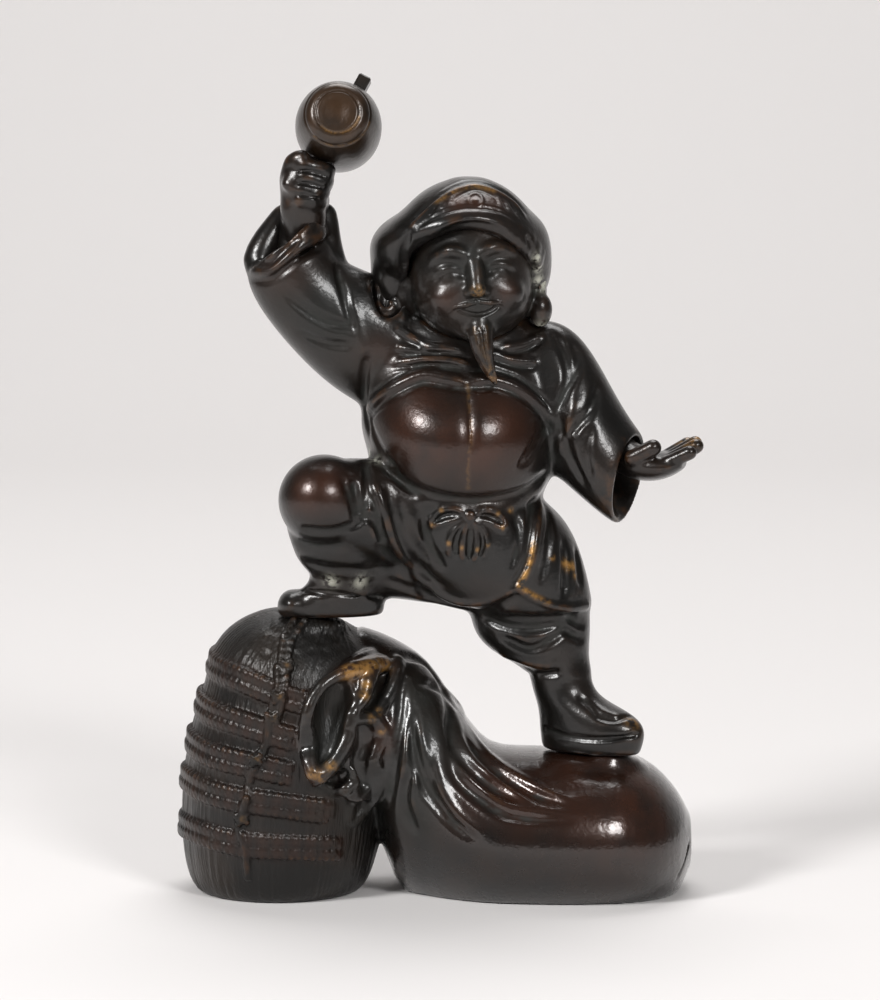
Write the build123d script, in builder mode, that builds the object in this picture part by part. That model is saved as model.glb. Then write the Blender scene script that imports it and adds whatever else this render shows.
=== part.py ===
"""Cast bronze okimono: a lucky god strides over a rice bale and a treasure sack with a mallet raised.

The statue is a set of hollow and solid castings, put together with tenons, sockets and cross pins.
Each boot is held to the base by a stud with a washer and a nut, reached from the open underside.
The mallet is loose: its handle stands in the fist and draws out along its own length.

Millimetres, +Z up, +X to the right of the front view, +Y towards the back. The origin is on the table,
under the middle of the statue.
"""

import os
from math import cos, radians, sin, sqrt

from build123d import *

# Rice bale: a straw barrel that leans towards the sack
BALE_X = -52.0
BALE_HEIGHT = 88.0
BALE_RADIUS = 33.0
BALE_DRIFT = 16.0  # how far the top leans to the right
BALE_WALL = 4.0
BALE_PROFILE = [  # share of the height, share of the radius
    (-0.02, 0.70),
    (0.09, 0.91),
    (0.22, 0.97),
    (0.37, 1.0),
    (0.49, 1.0),
    (0.615, 0.98),
    (0.75, 0.93),
    (0.88, 0.79),
    (0.96, 0.56),
    (1.0, 0.26),
]
BALE_CORE = [(-0.04, 0.68), (0.09, 0.91), (0.37, 1.0), (0.615, 0.98), (0.86, 0.8)]  # its hollow
ROPE_BANDS = [  # share of the height, share of the radius, start angle, sweep
    (0.22, 0.97, 60.0, 240.0),
    (0.37, 1.0, 60.0, 240.0),
    (0.49, 1.0, 60.0, 195.0),
    (0.615, 0.98, 60.0, 190.0),
    (0.75, 0.93, 60.0, 185.0),
]
ROPE_RADIUS = 1.3
ROPE_SPACING = 2.9  # between the two strands of a band

# Treasure sack: upright sections
SACK_HALF_DEPTH = 38.0
SACK_STEPS = 3  # sections set for each one listed
SACK_SECTIONS = [  # x, top, bottom, share of the half depth
    (-26.0, 85.5, 40.0, 0.52),
    (-14.6, 81.0, 4.0, 0.71),
    (-4.0, 73.5, -4.5, 0.79),
    (6.0, 59.0, -7.7, 0.88),
    (16.0, 47.5, -8.5, 0.95),
    (30.0, 45.7, -9.0, 0.99),
    (44.6, 45.5, -9.0, 1.0),
    (58.0, 44.7, -8.2, 0.955),
    (69.0, 39.5, -6.0, 0.80),
    (76.5, 31.5, -1.0, 0.55),
    (80.8, 23.5, 8.0, 0.24),
]
SACK_CORE = [  # the same for the hollow inside
    (12.0, 40.0, -12.0, 0.60),
    (26.0, 40.5, -12.0, 0.71),
    (46.0, 40.0, -12.0, 0.73),
    (62.0, 36.0, -12.0, 0.60),
]
MOUTH_THICKNESS = 4.5  # how far the sack's frilled mouth stands off the bale
MOUTH_OUTLINE = [  # x and z of the frill, seen from the front
    (-14.5, 78.0),
    (-24.0, 80.0),
    (-33.0, 75.5),
    (-40.5, 67.5),
    (-44.5, 57.5),
    (-43.0, 46.0),
    (-38.5, 39.0),
    (-35.0, 44.0),
    (-30.5, 35.5),
    (-24.0, 33.0),
    (-16.5, 36.0),
]
MOUTH_BACK = 8.0  # how far in front of the middle the frill starts
MOUTH_DEPTH = 40.0
MOUTH_SCOOP = ((-36.1, -37.2, 59.0), (0.4, 0.07, 1.0), 13.0, 6.2)  # the frill's hollow

# Robe: level sections as centre, half width, half depth
BODY_SECTIONS = [
    ((7.5, -1.0, 126.0), 25.0, 22.5),
    ((7.0, -2.0, 133.0), 28.0, 26.5),
    ((6.8, -3.0, 145.0), 29.5, 29.0),
    ((6.0, -2.0, 157.0), 30.0, 26.5),
    ((5.5, 0.0, 167.0), 31.0, 21.5),
    ((5.5, 1.0, 176.0), 29.0, 18.0),
    ((6.5, 1.0, 184.0), 23.0, 15.0),
    ((8.0, 0.5, 190.0), 14.0, 11.0),
]
BODY_CORE = [  # the same for the hollow inside
    ((7.5, -1.0, 133.9), 19.0, 16.5),
    ((6.8, -3.0, 145.0), 23.5, 23.0),
    ((6.0, -2.0, 157.5), 21.0, 18.0),
]
SKIRT_SECTIONS = [
    ((7.5, -1.0, 126.0), 25.5, 23.0),
    ((12.0, -1.0, 116.0), 30.0, 24.0),
    ((17.5, -1.0, 104.0), 29.0, 22.5),
    ((22.5, -1.0, 96.0), 26.0, 20.0),
    ((30.0, -1.0, 91.5), 18.0, 17.0),
]
WAIST_Z = 126.0
WAIST_CENTRE = (7.5, -1.0)
SPIGOT_WIDTH = 19.5  # half sizes of the oval spigot at the waist
SPIGOT_DEPTH = 17.0
SPIGOT_HEIGHT = 6.0
SPIGOT_GAP = 2.0
SKIRT_FLOOR = 116.0
SKIRT_HOLLOW_CENTRE = (9.5, -1.0)
SKIRT_HOLLOW_WIDTH = 13.0
SKIRT_HOLLOW_DEPTH = 12.0

# Head, cap and beard
HEAD_CENTRE = (9.8, -7.0, 200.0)
HEAD_RADIUS = 19.5
HEAD_HALF_HEIGHT = 22.5
CAP_SECTIONS = [
    ((7.0, 4.0, 194.0), 22.0, 13.0),
    ((6.5, 3.0, 198.0), 24.5, 15.5),
    ((6.0, -3.0, 203.0), 26.5, 23.0),
    ((6.0, -3.0, 209.0), 27.6, 25.5),
    ((7.4, -4.0, 215.5), 24.0, 24.0),
    ((8.4, -5.0, 221.0), 18.0, 19.0),
    ((8.8, -5.0, 225.5), 11.6, 12.5),
    ((9.2, -5.0, 228.5), 5.0, 5.5),
]
HEAD_FEATURES = [  # about the head's centre: centre, axis, half length, radius
    ((1.5, -20.0, -5.5), (0, -0.35, -1), 6.0, 3.6),
    ((1.5, -17.5, 4.0), (1, 0, 0), 11.0, 3.4),
    ((-8.5, -15.2, -6.5), (0.4, 0, 1), 6.6, 5.6),
    ((11.0, -15.0, -6.3), (-0.4, 0.1, 1), 6.6, 5.6),
    ((2.0, -15.0, -15.5), (1, 0, 0), 9.0, 5.6),
    ((-20.0, 1.0, -5.0), (1, 0, 0), 7.5, 4.6),
    ((-26.6, 1.0, -7.6), (0.06, 0, 1), 10.4, 4.9),
    ((17.5, 2.0, -5.0), (1, 0, 0), 7.0, 4.6),
    ((22.4, 2.0, -7.4), (-0.06, 0, 1), 10.4, 4.5),
    ((3.2, -19.0, -24.0), (0.16, -0.1, -1), 10.0, 4.4),
]

# Sleeves: centre, direction, half height, half depth
RIGHT_SLEEVE = [
    ((-12.0, 0.0, 175.0), (-1.0, 0.0, 0.15), 18.0, 13.5),
    ((-26.0, 0.0, 179.5), (-0.96, 0.0, 0.28), 19.5, 14.0),
    ((-37.5, -0.5, 187.5), (-0.90, 0.0, 0.44), 16.8, 13.5),
    ((-45.8, -1.0, 198.0), (-0.70, 0.0, 0.71), 15.4, 13.0),
    ((-49.2, -1.0, 209.5), (-0.62, 0.0, 0.78), 15.4, 13.4),
]
LEFT_SLEEVE = [
    ((24.0, 0.0, 165.0), (0.97, 0.0, -0.25), 19.0, 13.5),
    ((35.5, -1.0, 160.5), (0.97, -0.1, -0.25), 21.5, 14.0),
    ((47.0, -6.0, 149.0), (0.93, -0.30, -0.20), 19.6, 14.0),
    ((60.5, -11.0, 133.5), (0.88, -0.44, -0.18), 15.2, 12.5),
]
RIGHT_CUFF = ((-49.5, -0.7, 210.0), (-0.6, 0.04, 0.8))  # middle and direction of its hollow
CUFF_RADIUS = 10.4
CUFF_DEPTH = 8.0
LEFT_CUFF = [  # the hollow of the left one
    ((52.0, -7.0, 140.0), (0.88, -0.44, -0.18), 11.0, 9.0),
    ((61.4, -11.4, 133.3), (0.88, -0.44, -0.18), 13.4, 10.6),
]

# Mallet: the barrel's centre, and the direction of its handle and of its near end
MALLET_CENTRE = (-32.2, 2.0, 245.0)
HANDLE_DIRECTION = Vector(0.465, 0.281, 0.840).normalized()
BARREL_DIRECTION = Vector(0.0, -0.948, 0.317).normalized()
BARREL_RADIUS = 13.8
BARREL_END_RADIUS = 9.2
BARREL_LENGTH = 34.0
BARREL_RING = 0.8  # height of the raised ring on each end
RING_RADIUS = 7.6
RING_WIDTH = 1.4
HANDLE_WIDTH = 5.4
HANDLE_THICKNESS = 4.2
HANDLE_ABOVE = 18.5  # from the barrel's centre to the top end
HANDLE_BELOW = 29.2  # from the barrel's centre to the butt
HANDLE_CHAMFER = 0.5
HANDLE_CLEARANCE = 0.15  # each side, in the fist
HANDLE_CHANNEL = 45.0  # how far the fist's hole is cut, from the barrel's centre
BARREL_FIT = 0.03  # each side, in the barrel
FIST_GAP = 0.4  # between the barrel and the top of the fist

# Right fist: sizes along the handle, across it and front to back, and the forearm behind it
FIST_HEIGHT = 13.0
FIST_WIDTH = 15.0
FIST_DEPTH = 13.5
FIST_FILLET = 3.5
FINGER_COUNT = 4
FINGER_RADIUS = 2.2
FINGER_HALF_LENGTH = 7.0
FINGER_SINK = 1.0
RIGHT_FOREARM = [  # centre, direction, half height, half depth
    ((-46.0, 2.0, 198.0), (-0.1, 0, 1), 6.2, 6.0),
    ((-45.6, 2.3, 208.0), (0.1, 0, 1), 7.0, 6.2),
    ((-43.6, 2.6, 217.0), (0.3, 0, 1), 7.2, 6.2),
    ((-40.6, 2.6, 226.0), (0.4, 0, 0.9), 6.8, 6.0),
]

# Left hand: palm up, with the forearm behind it
LEFT_FOREARM = [  # centre, direction, half height, half depth
    ((48.0, -7.0, 146.5), (1, -0.35, -0.3), 5.6, 5.6),
    ((57.0, -10.5, 142.5), (1, -0.35, -0.3), 5.8, 6.2),
    ((66.0, -13.5, 139.0), (1, -0.25, 0.0), 5.2, 8.4),
    ((73.0, -15.0, 139.5), (1, -0.2, 0.25), 3.8, 8.6),
    ((77.0, -16.0, 141.0), (1, -0.2, 0.4), 2.4, 7.4),
]
LEFT_FINGERS = [  # centre, axis, half length, radius
    ((75.0, -21.5, 142.0), (0.9, -0.3, 0.45), 6.5, 2.3),
    ((76.6, -17.5, 143.0), (0.9, -0.15, 0.5), 7.4, 2.4),
    ((76.6, -13.2, 143.3), (0.9, 0.0, 0.52), 7.2, 2.4),
    ((75.0, -9.2, 143.0), (0.9, 0.1, 0.52), 6.4, 2.2),
    ((64.0, -20.5, 143.5), (0.9, -0.3, 0.5), 6.4, 2.7),
]

# Legs: centre, half width, half depth of level sections, and the thigh
RIGHT_SOLE_Z = BALE_HEIGHT + 2.0  # the right boot stands on the bale
RIGHT_BOOT_HEIGHT = 14.5
RIGHT_THIGH = [  # centre, direction, half height, half depth
    ((2.0, -4.0, 119.0), (-0.9, -0.42, 0.15), 16.0, 15.0),
    ((-16.0, -11.5, 122.5), (-0.9, -0.42, 0.15), 16.5, 15.5),
    ((-28.0, -17.0, 126.0), (-0.9, -0.42, 0.2), 15.5, 15.0),
    ((-37.0, -21.0, 128.5), (-0.9, -0.42, 0.2), 12.5, 12.0),
]
RIGHT_KNEE = (-36.5, -21.0, 128.5)
KNEE_RADIUS = 14.5
RIGHT_SHIN_Z = RIGHT_SOLE_Z + RIGHT_BOOT_HEIGHT  # where the trouser leg meets the boot
SHIN_LENGTH = RIGHT_KNEE[2] - RIGHT_SHIN_Z
RIGHT_SHIN = [
    ((-36.0, -19.0, RIGHT_SHIN_Z + 0.81 * SHIN_LENGTH), 12.5, 12.5),
    ((-34.0, -15.0, RIGHT_SHIN_Z + 0.52 * SHIN_LENGTH), 15.0, 13.5),
    ((-33.0, -13.0, RIGHT_SHIN_Z + 0.27 * SHIN_LENGTH), 14.8, 13.0),
    ((-30.5, -11.0, RIGHT_SHIN_Z), 12.0, 10.5),
]
TROUSER_SEAT = [  # centre, direction, half height, half depth
    ((-27.0, -5.0, 107.0), (0.97, 0, -0.1), 11.5, 11.0),
    ((-8.0, -3.0, 106.0), (0.97, 0, -0.2), 12.0, 13.0),
    ((8.0, -2.0, 102.5), (0.97, 0, -0.25), 11.5, 13.5),
    ((22.0, -1.0, 98.0), (0.97, 0, -0.25), 10.5, 12.0),
]
LEFT_LEG = [
    ((24.0, 0.0, 114.0), 14.0, 12.5),
    ((27.6, 0.0, 97.0), 18.4, 14.5),
    ((29.2, -0.5, 87.0), 19.0, 14.5),
    ((31.0, -1.0, 80.0), 17.0, 14.0),
    ((35.7, -2.0, 74.0), 12.4, 11.5),
    ((37.5, -2.5, 71.5), 11.0, 10.5),
]

# Boots: level sections as centre, half length, half width
RIGHT_BOOT_YAW = 8.0
RIGHT_BOOT = [
    ((-34.4, -9.0, RIGHT_SOLE_Z), 16.6, 8.0),
    ((-34.4, -9.0, RIGHT_SOLE_Z + 4.0), 16.8, 8.6),
    ((-32.0, -9.5, RIGHT_SOLE_Z + 8.0), 13.8, 8.8),
    ((-30.4, -10.5, RIGHT_SOLE_Z + 11.5), 11.6, 9.0),
    ((-30.4, -11.0, RIGHT_SOLE_Z + RIGHT_BOOT_HEIGHT), 11.6, 10.0),
]
LEFT_SOLE_Z = 46.0
LEFT_BOOT_YAW = -28.0
LEFT_BOOT = [
    ((48.5, -9.0, LEFT_SOLE_Z), 17.0, 8.2),
    ((48.6, -9.0, LEFT_SOLE_Z + 4.0), 17.8, 9.0),
    ((48.2, -8.6, LEFT_SOLE_Z + 9.5), 17.8, 9.2),
    ((43.6, -6.0, LEFT_SOLE_Z + 15.0), 13.4, 9.0),
    ((39.4, -3.6, LEFT_SOLE_Z + 20.5), 10.2, 9.0),
    ((38.4, -3.0, LEFT_SOLE_Z + 25.5), 10.0, 9.4),
]

# Joints between the castings: start, direction and length of each tenon
TENON_RADIUS = 4.5
TENON_ROOT = 5.0  # how far the tenon's own metal reaches back into its piece
TENON_CLEARANCE = 0.05
NECK_TENON = ((9.0, -2.0, 181.0), (0, 0, -1), 9.0)
RIGHT_SHOULDER = ((-22.5, 0.0, 178.0), (0.96, 0, -0.28), 12.0)
LEFT_SHOULDER = ((33.5, 0.0, 163.0), (-0.97, 0, 0.25), 12.0)
RIGHT_HIP = ((-15.5, -9.0, 117.0), (0.9, 0.42, 0), 8.0)
RIGHT_ANKLE = ((-31.0, -11.0, RIGHT_SOLE_Z + 13.0), (0, 0, 1), 8.0)
LEFT_ANKLE = ((38.0, -3.0, LEFT_SOLE_Z + 25.0), (0, 0, 1), 8.0)
PIN_RADIUS = 1.2
PIN_REACH = 60.0
PIN_POINTS = {  # inner end of each cross pin
    "neck": (9.0, -5.0, 175.5),
    "right_shoulder": (-13.0, -3.0, 175.2),
    "left_shoulder": (24.0, -3.0, 165.4),
    "waist_right": (-1.0, 11.5, 129.0),
    "waist_left": (17.0, 11.5, 129.0),
    "right_hip": (-11.0, -10.0, 117.0),
    "left_hip": (26.0, 2.0, 107.0),
    "right_wrist": (-45.9, -1.0, 203.0),
    "left_wrist": (52.3, -11.0, 145.3),
    "right_ankle": (-31.0, -14.0, RIGHT_ANKLE[0][2] + 4.5),
    "left_ankle": (38.0, -6.0, LEFT_ANKLE[0][2] + 4.5),
}

# Studs, washers and nuts that hold the boots to the base
STUD_RADIUS = 2.5
STUD_DEPTH = 6.0  # into the boot
STUD_CLEARANCE = 0.3
PAD_RADIUS = 6.0
BOSS_RADIUS = 7.5
BOSS_HEIGHT = 10.0
WASHER_RADIUS = 5.0
WASHER_THICKNESS = 1.0
WASHER_ROOM = 0.5  # clear space round the washer
NUT_ACROSS = 8.0
NUT_HEIGHT = 4.0
STUD_PAST_NUT = 1.5
RIGHT_STUD = (-42.5, -9.0)
LEFT_STUD = (54.0, -11.5)
BALE_SEAT_Z = BALE_HEIGHT - 18.0  # underside of the boss in the bale
SACK_SEAT_Z = 32.0  # underside of the boss in the sack

# Rivets that draw the sack against the bale: the middle of each head's seat
RIVET_RADIUS = 2.0
RIVET_LENGTH = 18.0
RIVET_HEAD = 1.6
RIVET_HEAD_RADIUS = 3.6
SPOT_RADIUS = 4.0  # of the flat under each head
RIVET_SEATS = [(-23.0, -8.0, 22.0), (-21.0, 9.0, 37.0)]

TABLE = 200.0  # size of the block that trims everything below the table
ARC_PULL = 4 * (sqrt(2) - 1) / 3  # how far a quarter arc's control points stand along its tangents


def oval(plane, half_width, half_depth):
    """An elliptical section on a plane, drawn as four quarter curves."""
    a, b = half_width, half_depth
    p, q = ARC_PULL * a, ARC_PULL * b
    with BuildSketch(plane) as section:
        with BuildLine():
            Bezier((a, 0), (a, q), (p, b), (0, b))
            Bezier((0, b), (-p, b), (-a, q), (-a, 0))
            Bezier((-a, 0), (-a, -q), (-p, -b), (0, -b))
            Bezier((0, -b), (p, -b), (a, -q), (a, 0))
        make_face()
    return section.sketch


def level_ovals(sections, inset=0.0, yaw=0.0):
    """Level sections from rows of centre, half width and half depth."""
    across = (cos(radians(yaw)), sin(radians(yaw)), 0)
    return [
        oval(Plane(origin=centre, x_dir=across, z_dir=(0, 0, 1)), width - inset, depth - inset)
        for centre, width, depth in sections
    ]


def run_ovals(sections, inset=0.0):
    """Sections square to a run, from rows of centre, direction, half height and half depth."""
    return [
        oval(
            Plane(origin=centre, x_dir=Vector(run).cross(Vector(0, 1, 0)), z_dir=run),
            height - inset,
            depth - inset,
        )
        for centre, run, height, depth in sections
    ]


def rod(start, direction, radius, length, root=0.0):
    """A round bar from a start point, with a root behind it."""
    with BuildPart() as bar:
        with BuildSketch(Plane(origin=start, z_dir=direction).offset(-root)):
            Circle(radius)
        extrude(amount=length + root)
    return bar.part


def bar(plane, width, thickness, below, above):
    """A rectangular bar along a plane's normal."""
    with BuildPart() as stick:
        with BuildSketch(plane.offset(-below)):
            Rectangle(width, thickness)
        extrude(amount=below + above)
    return stick.part


def pill(centre, axis, half_length, radius):
    """A round bar with domed ends, or a ball where the half length is the radius."""
    along = Vector(axis).normalized()
    plane = Plane(origin=centre, x_dir=along, z_dir=along.cross(Vector(0.31, 0.83, 0.46)))
    flat = half_length - radius
    bend = radius * sqrt(0.5)
    with BuildPart() as body:
        with BuildSketch(plane):
            with BuildLine():
                Line((-half_length, 0), (half_length, 0))
                ThreePointArc((half_length, 0), (flat + bend, bend), (flat, radius))
                if flat > 0:
                    Line((flat, radius), (-flat, radius))
                ThreePointArc((-flat, radius), (-flat - bend, bend), (-half_length, 0))
            make_face()
        revolve(axis=Axis(plane.origin, plane.x_dir))
    return body.part


def bale_plane(share, turn=90.0):
    """The plane across the bale at a share of its height, square to its leaning axis."""
    centre = (BALE_X + BALE_DRIFT * share**2, 0, BALE_HEIGHT * share)
    lean = Vector(2 * BALE_DRIFT * share / BALE_HEIGHT, 0, 1).normalized()
    right = Vector(0, 1, 0).cross(lean)
    across = right * cos(radians(turn)) + Vector(0, 1, 0) * sin(radians(turn))
    return Plane(origin=centre, x_dir=across, z_dir=lean)


def bale_ovals(profile, inset=0.0):
    """Round sections of the bale."""
    return [oval(bale_plane(s), BALE_RADIUS * r - inset, BALE_RADIUS * r - inset) for s, r in profile]


def smooth_rows(rows, steps):
    """Rows of numbers with further rows set between them on smooth curves."""
    full = [rows[0], *rows, rows[-1]]
    filled = []
    for a, b, c, d in zip(full, full[1:], full[2:], full[3:]):
        for t in [k / steps for k in range(steps)]:
            weights = (
                -0.5 * t + t**2 - 0.5 * t**3,
                1 - 2.5 * t**2 + 1.5 * t**3,
                0.5 * t + 2 * t**2 - 1.5 * t**3,
                -0.5 * t**2 + 0.5 * t**3,
            )
            filled.append(tuple(sum(w * v for w, v in zip(weights, column)) for column in zip(a, b, c, d)))
    return filled + [rows[-1]]


def sack_ovals(sections, inset=0.0):
    """Upright sections of the sack."""
    return [
        oval(
            Plane(origin=(x, 0, (top + bottom) / 2), x_dir=(0, 0, 1), z_dir=(1, 0, 0)),
            (top - bottom) / 2 - inset,
            SACK_HALF_DEPTH * depth - inset,
        )
        for x, top, bottom, depth in sections
    ]


def finish(name, part):
    """Labels a finished piece and writes its STEP file."""
    part.label = name
    export_step(part, f"parts/{name}.step")
    pieces = part.solids()
    print(name, len(pieces), round(part.volume), all(s.is_valid for s in pieces))


os.makedirs("parts", exist_ok=True)

# Outer forms, from which the pieces are cut
with BuildPart() as below_table:
    Box(2 * TABLE, 2 * TABLE, TABLE, align=(Align.CENTER, Align.CENTER, Align.MAX))

with BuildPart() as bale_form:
    loft(bale_ovals(BALE_PROFILE))
    add(below_table.part, mode=Mode.SUBTRACT)

with BuildPart() as mouth_skin:
    loft(bale_ovals(BALE_PROFILE, -MOUTH_THICKNESS))

with BuildPart() as mouth_form:
    with BuildSketch(Plane.XZ.offset(MOUTH_BACK)):
        with BuildLine():
            Spline(MOUTH_OUTLINE, periodic=True)
        make_face()
    extrude(amount=MOUTH_DEPTH)
    add(mouth_skin.part, mode=Mode.INTERSECT)
    add(pill(*MOUTH_SCOOP), mode=Mode.SUBTRACT)

with BuildPart() as sack_form:
    loft(sack_ovals(smooth_rows(SACK_SECTIONS, SACK_STEPS)), ruled=True)
    add(below_table.part, mode=Mode.SUBTRACT)
    add(bale_form.part, mode=Mode.SUBTRACT)

with BuildPart() as body_form:
    loft(level_ovals(BODY_SECTIONS))

with BuildPart() as skirt_form:
    loft(level_ovals(SKIRT_SECTIONS))

with BuildPart() as head_form:
    add(pill(HEAD_CENTRE, (0, 0, 1), HEAD_HALF_HEIGHT, HEAD_RADIUS))
    for centre, axis, half_length, radius in HEAD_FEATURES:
        add(pill(Vector(HEAD_CENTRE) + Vector(centre), axis, half_length, radius))

with BuildPart() as cap_form:
    loft(level_ovals(CAP_SECTIONS))
    add(head_form.part, mode=Mode.SUBTRACT)

with BuildPart() as right_sleeve_form:
    loft(run_ovals(RIGHT_SLEEVE))
    add(rod(*RIGHT_CUFF, CUFF_RADIUS, CUFF_DEPTH, CUFF_DEPTH), mode=Mode.SUBTRACT)
    add(body_form.part, mode=Mode.SUBTRACT)
    add(head_form.part, mode=Mode.SUBTRACT)
    add(cap_form.part, mode=Mode.SUBTRACT)

with BuildPart() as left_sleeve_form:
    loft(run_ovals(LEFT_SLEEVE))
    add(body_form.part, mode=Mode.SUBTRACT)
    add(skirt_form.part, mode=Mode.SUBTRACT)
    add(head_form.part, mode=Mode.SUBTRACT)

with BuildPart() as left_leg_form:
    loft(level_ovals(LEFT_LEG))

with BuildPart() as trouser_seat:
    loft(run_ovals(TROUSER_SEAT))

with BuildPart() as right_thigh:
    loft(run_ovals(RIGHT_THIGH))

with BuildPart() as right_leg_form:
    loft(level_ovals(RIGHT_SHIN))
    add(right_thigh.part)
    add(trouser_seat.part)
    add(pill(RIGHT_KNEE, (0, 0, 1), KNEE_RADIUS, KNEE_RADIUS))
    add(body_form.part, mode=Mode.SUBTRACT)
    add(skirt_form.part, mode=Mode.SUBTRACT)
    add(left_leg_form.part, mode=Mode.SUBTRACT)

with BuildPart() as right_boot_form:
    loft(level_ovals(RIGHT_BOOT, yaw=RIGHT_BOOT_YAW))
    add(right_leg_form.part, mode=Mode.SUBTRACT)

with BuildPart() as left_boot_form:
    loft(level_ovals(LEFT_BOOT, yaw=LEFT_BOOT_YAW))
    add(left_leg_form.part, mode=Mode.SUBTRACT)

fist_top = Plane(origin=MALLET_CENTRE, x_dir=BARREL_DIRECTION, z_dir=HANDLE_DIRECTION)
fist_middle = fist_top.offset(-BARREL_RADIUS - FIST_GAP - FIST_HEIGHT / 2)

with BuildPart() as right_hand_form:
    with Locations(fist_middle):
        Box(FIST_DEPTH, FIST_WIDTH, FIST_HEIGHT)
    fillet(right_hand_form.edges(), FIST_FILLET)
    for k in range(FINGER_COUNT):
        knuckle = fist_middle.offset(((k + 0.5) / FINGER_COUNT - 0.5) * FIST_HEIGHT)
        middle = knuckle.from_local_coords((FIST_DEPTH / 2 - FINGER_SINK, 0, 0))
        add(pill(middle, knuckle.y_dir, FINGER_HALF_LENGTH, FINGER_RADIUS))
    loft(run_ovals(RIGHT_FOREARM))

with BuildPart() as left_hand_form:
    loft(run_ovals(LEFT_FOREARM))
    for centre, axis, half_length, radius in LEFT_FINGERS:
        add(pill(centre, axis, half_length, radius))

# Cross pins, each driven from the back through a tenon and the metal around it
pin_bars = {name: rod(point, (0, 1, 0), PIN_RADIUS, PIN_REACH) for name, point in PIN_POINTS.items()}
rivet_bars = [rod((x, y, z), (1, 0, 0), RIVET_RADIUS, RIVET_LENGTH) for x, y, z in RIVET_SEATS]

# Rice bale: a hollow casting, open below, with rope bands and a boss under the boot's stud
with BuildPart() as rice_bale:
    add(bale_form.part)
    for share, width, start, sweep in ROPE_BANDS:
        for shift in (-ROPE_SPACING / 2, ROPE_SPACING / 2):
            with Locations(bale_plane(share, start).offset(shift)):
                Torus(BALE_RADIUS * width, ROPE_RADIUS, major_angle=sweep, align=None)
    add(rod((*RIGHT_STUD, RIGHT_SOLE_Z), (0, 0, -1), PAD_RADIUS, RIGHT_SOLE_Z - BALE_SEAT_Z))
    loft(bale_ovals(BALE_CORE, BALE_WALL), mode=Mode.SUBTRACT)
    add(rod((*RIGHT_STUD, 0), (0, 0, 1), WASHER_RADIUS + WASHER_ROOM, BALE_SEAT_Z), mode=Mode.SUBTRACT)
    add(rod((*RIGHT_STUD, BALE_SEAT_Z), (0, 0, 1), BOSS_RADIUS, BOSS_HEIGHT))
    add(rod((*RIGHT_STUD, 0), (0, 0, 1), STUD_RADIUS + STUD_CLEARANCE, TABLE), mode=Mode.SUBTRACT)
    add(right_boot_form.part, mode=Mode.SUBTRACT)
    for (x, y, z), hole in zip(RIVET_SEATS, rivet_bars):
        add(rod((x, y, z), (-1, 0, 0), SPOT_RADIUS, RIVET_LENGTH), mode=Mode.SUBTRACT)
        add(hole, mode=Mode.SUBTRACT)
finish("rice_bale", rice_bale.part)

# Treasure sack: a hollow casting, open below, with its frilled mouth laid on the bale
with BuildPart() as treasure_sack:
    add(mouth_form.part)
    add(bale_form.part, mode=Mode.SUBTRACT)
    add(sack_form.part)
    add(rod((*LEFT_STUD, LEFT_SOLE_Z), (0, 0, -1), PAD_RADIUS, LEFT_SOLE_Z - SACK_SEAT_Z))
    loft(sack_ovals(SACK_CORE), mode=Mode.SUBTRACT)
    add(rod((*LEFT_STUD, 0), (0, 0, 1), WASHER_RADIUS + WASHER_ROOM, SACK_SEAT_Z), mode=Mode.SUBTRACT)
    add(rod((*LEFT_STUD, SACK_SEAT_Z), (0, 0, 1), BOSS_RADIUS, BOSS_HEIGHT))
    add(rod((*LEFT_STUD, 0), (0, 0, 1), STUD_RADIUS + STUD_CLEARANCE, TABLE), mode=Mode.SUBTRACT)
    add(left_boot_form.part, mode=Mode.SUBTRACT)
    for hole in rivet_bars:
        add(hole, mode=Mode.SUBTRACT)
finish("treasure_sack", treasure_sack.part)

# Rivets that draw the sack against the bale, headed inside the bale
with BuildPart() as base_rivets:
    for (x, y, z), shank in zip(RIVET_SEATS, rivet_bars):
        add(shank)
        add(rod((x, y, z), (-1, 0, 0), RIVET_HEAD_RADIUS, RIVET_HEAD))
finish("base_rivets", base_rivets.part)

# Robe body: chest, belly and collar, hollow from the waist
with BuildPart() as robe_body:
    add(body_form.part)
    with BuildSketch(Plane.XY.offset(WAIST_Z)):
        with Locations(WAIST_CENTRE):
            Ellipse(SPIGOT_WIDTH + TENON_CLEARANCE, SPIGOT_DEPTH + TENON_CLEARANCE)
    extrude(amount=SPIGOT_HEIGHT + SPIGOT_GAP, mode=Mode.SUBTRACT)
    loft(level_ovals(BODY_CORE), mode=Mode.SUBTRACT)
    add(head_form.part, mode=Mode.SUBTRACT)
    for start, direction, length in (NECK_TENON, RIGHT_SHOULDER, LEFT_SHOULDER):
        add(rod(start, direction, TENON_RADIUS + TENON_CLEARANCE, length, TENON_ROOT), mode=Mode.SUBTRACT)
    for name in ("neck", "right_shoulder", "left_shoulder", "waist_right", "waist_left"):
        add(pin_bars[name], mode=Mode.SUBTRACT)
finish("robe_body", robe_body.part)

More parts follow.
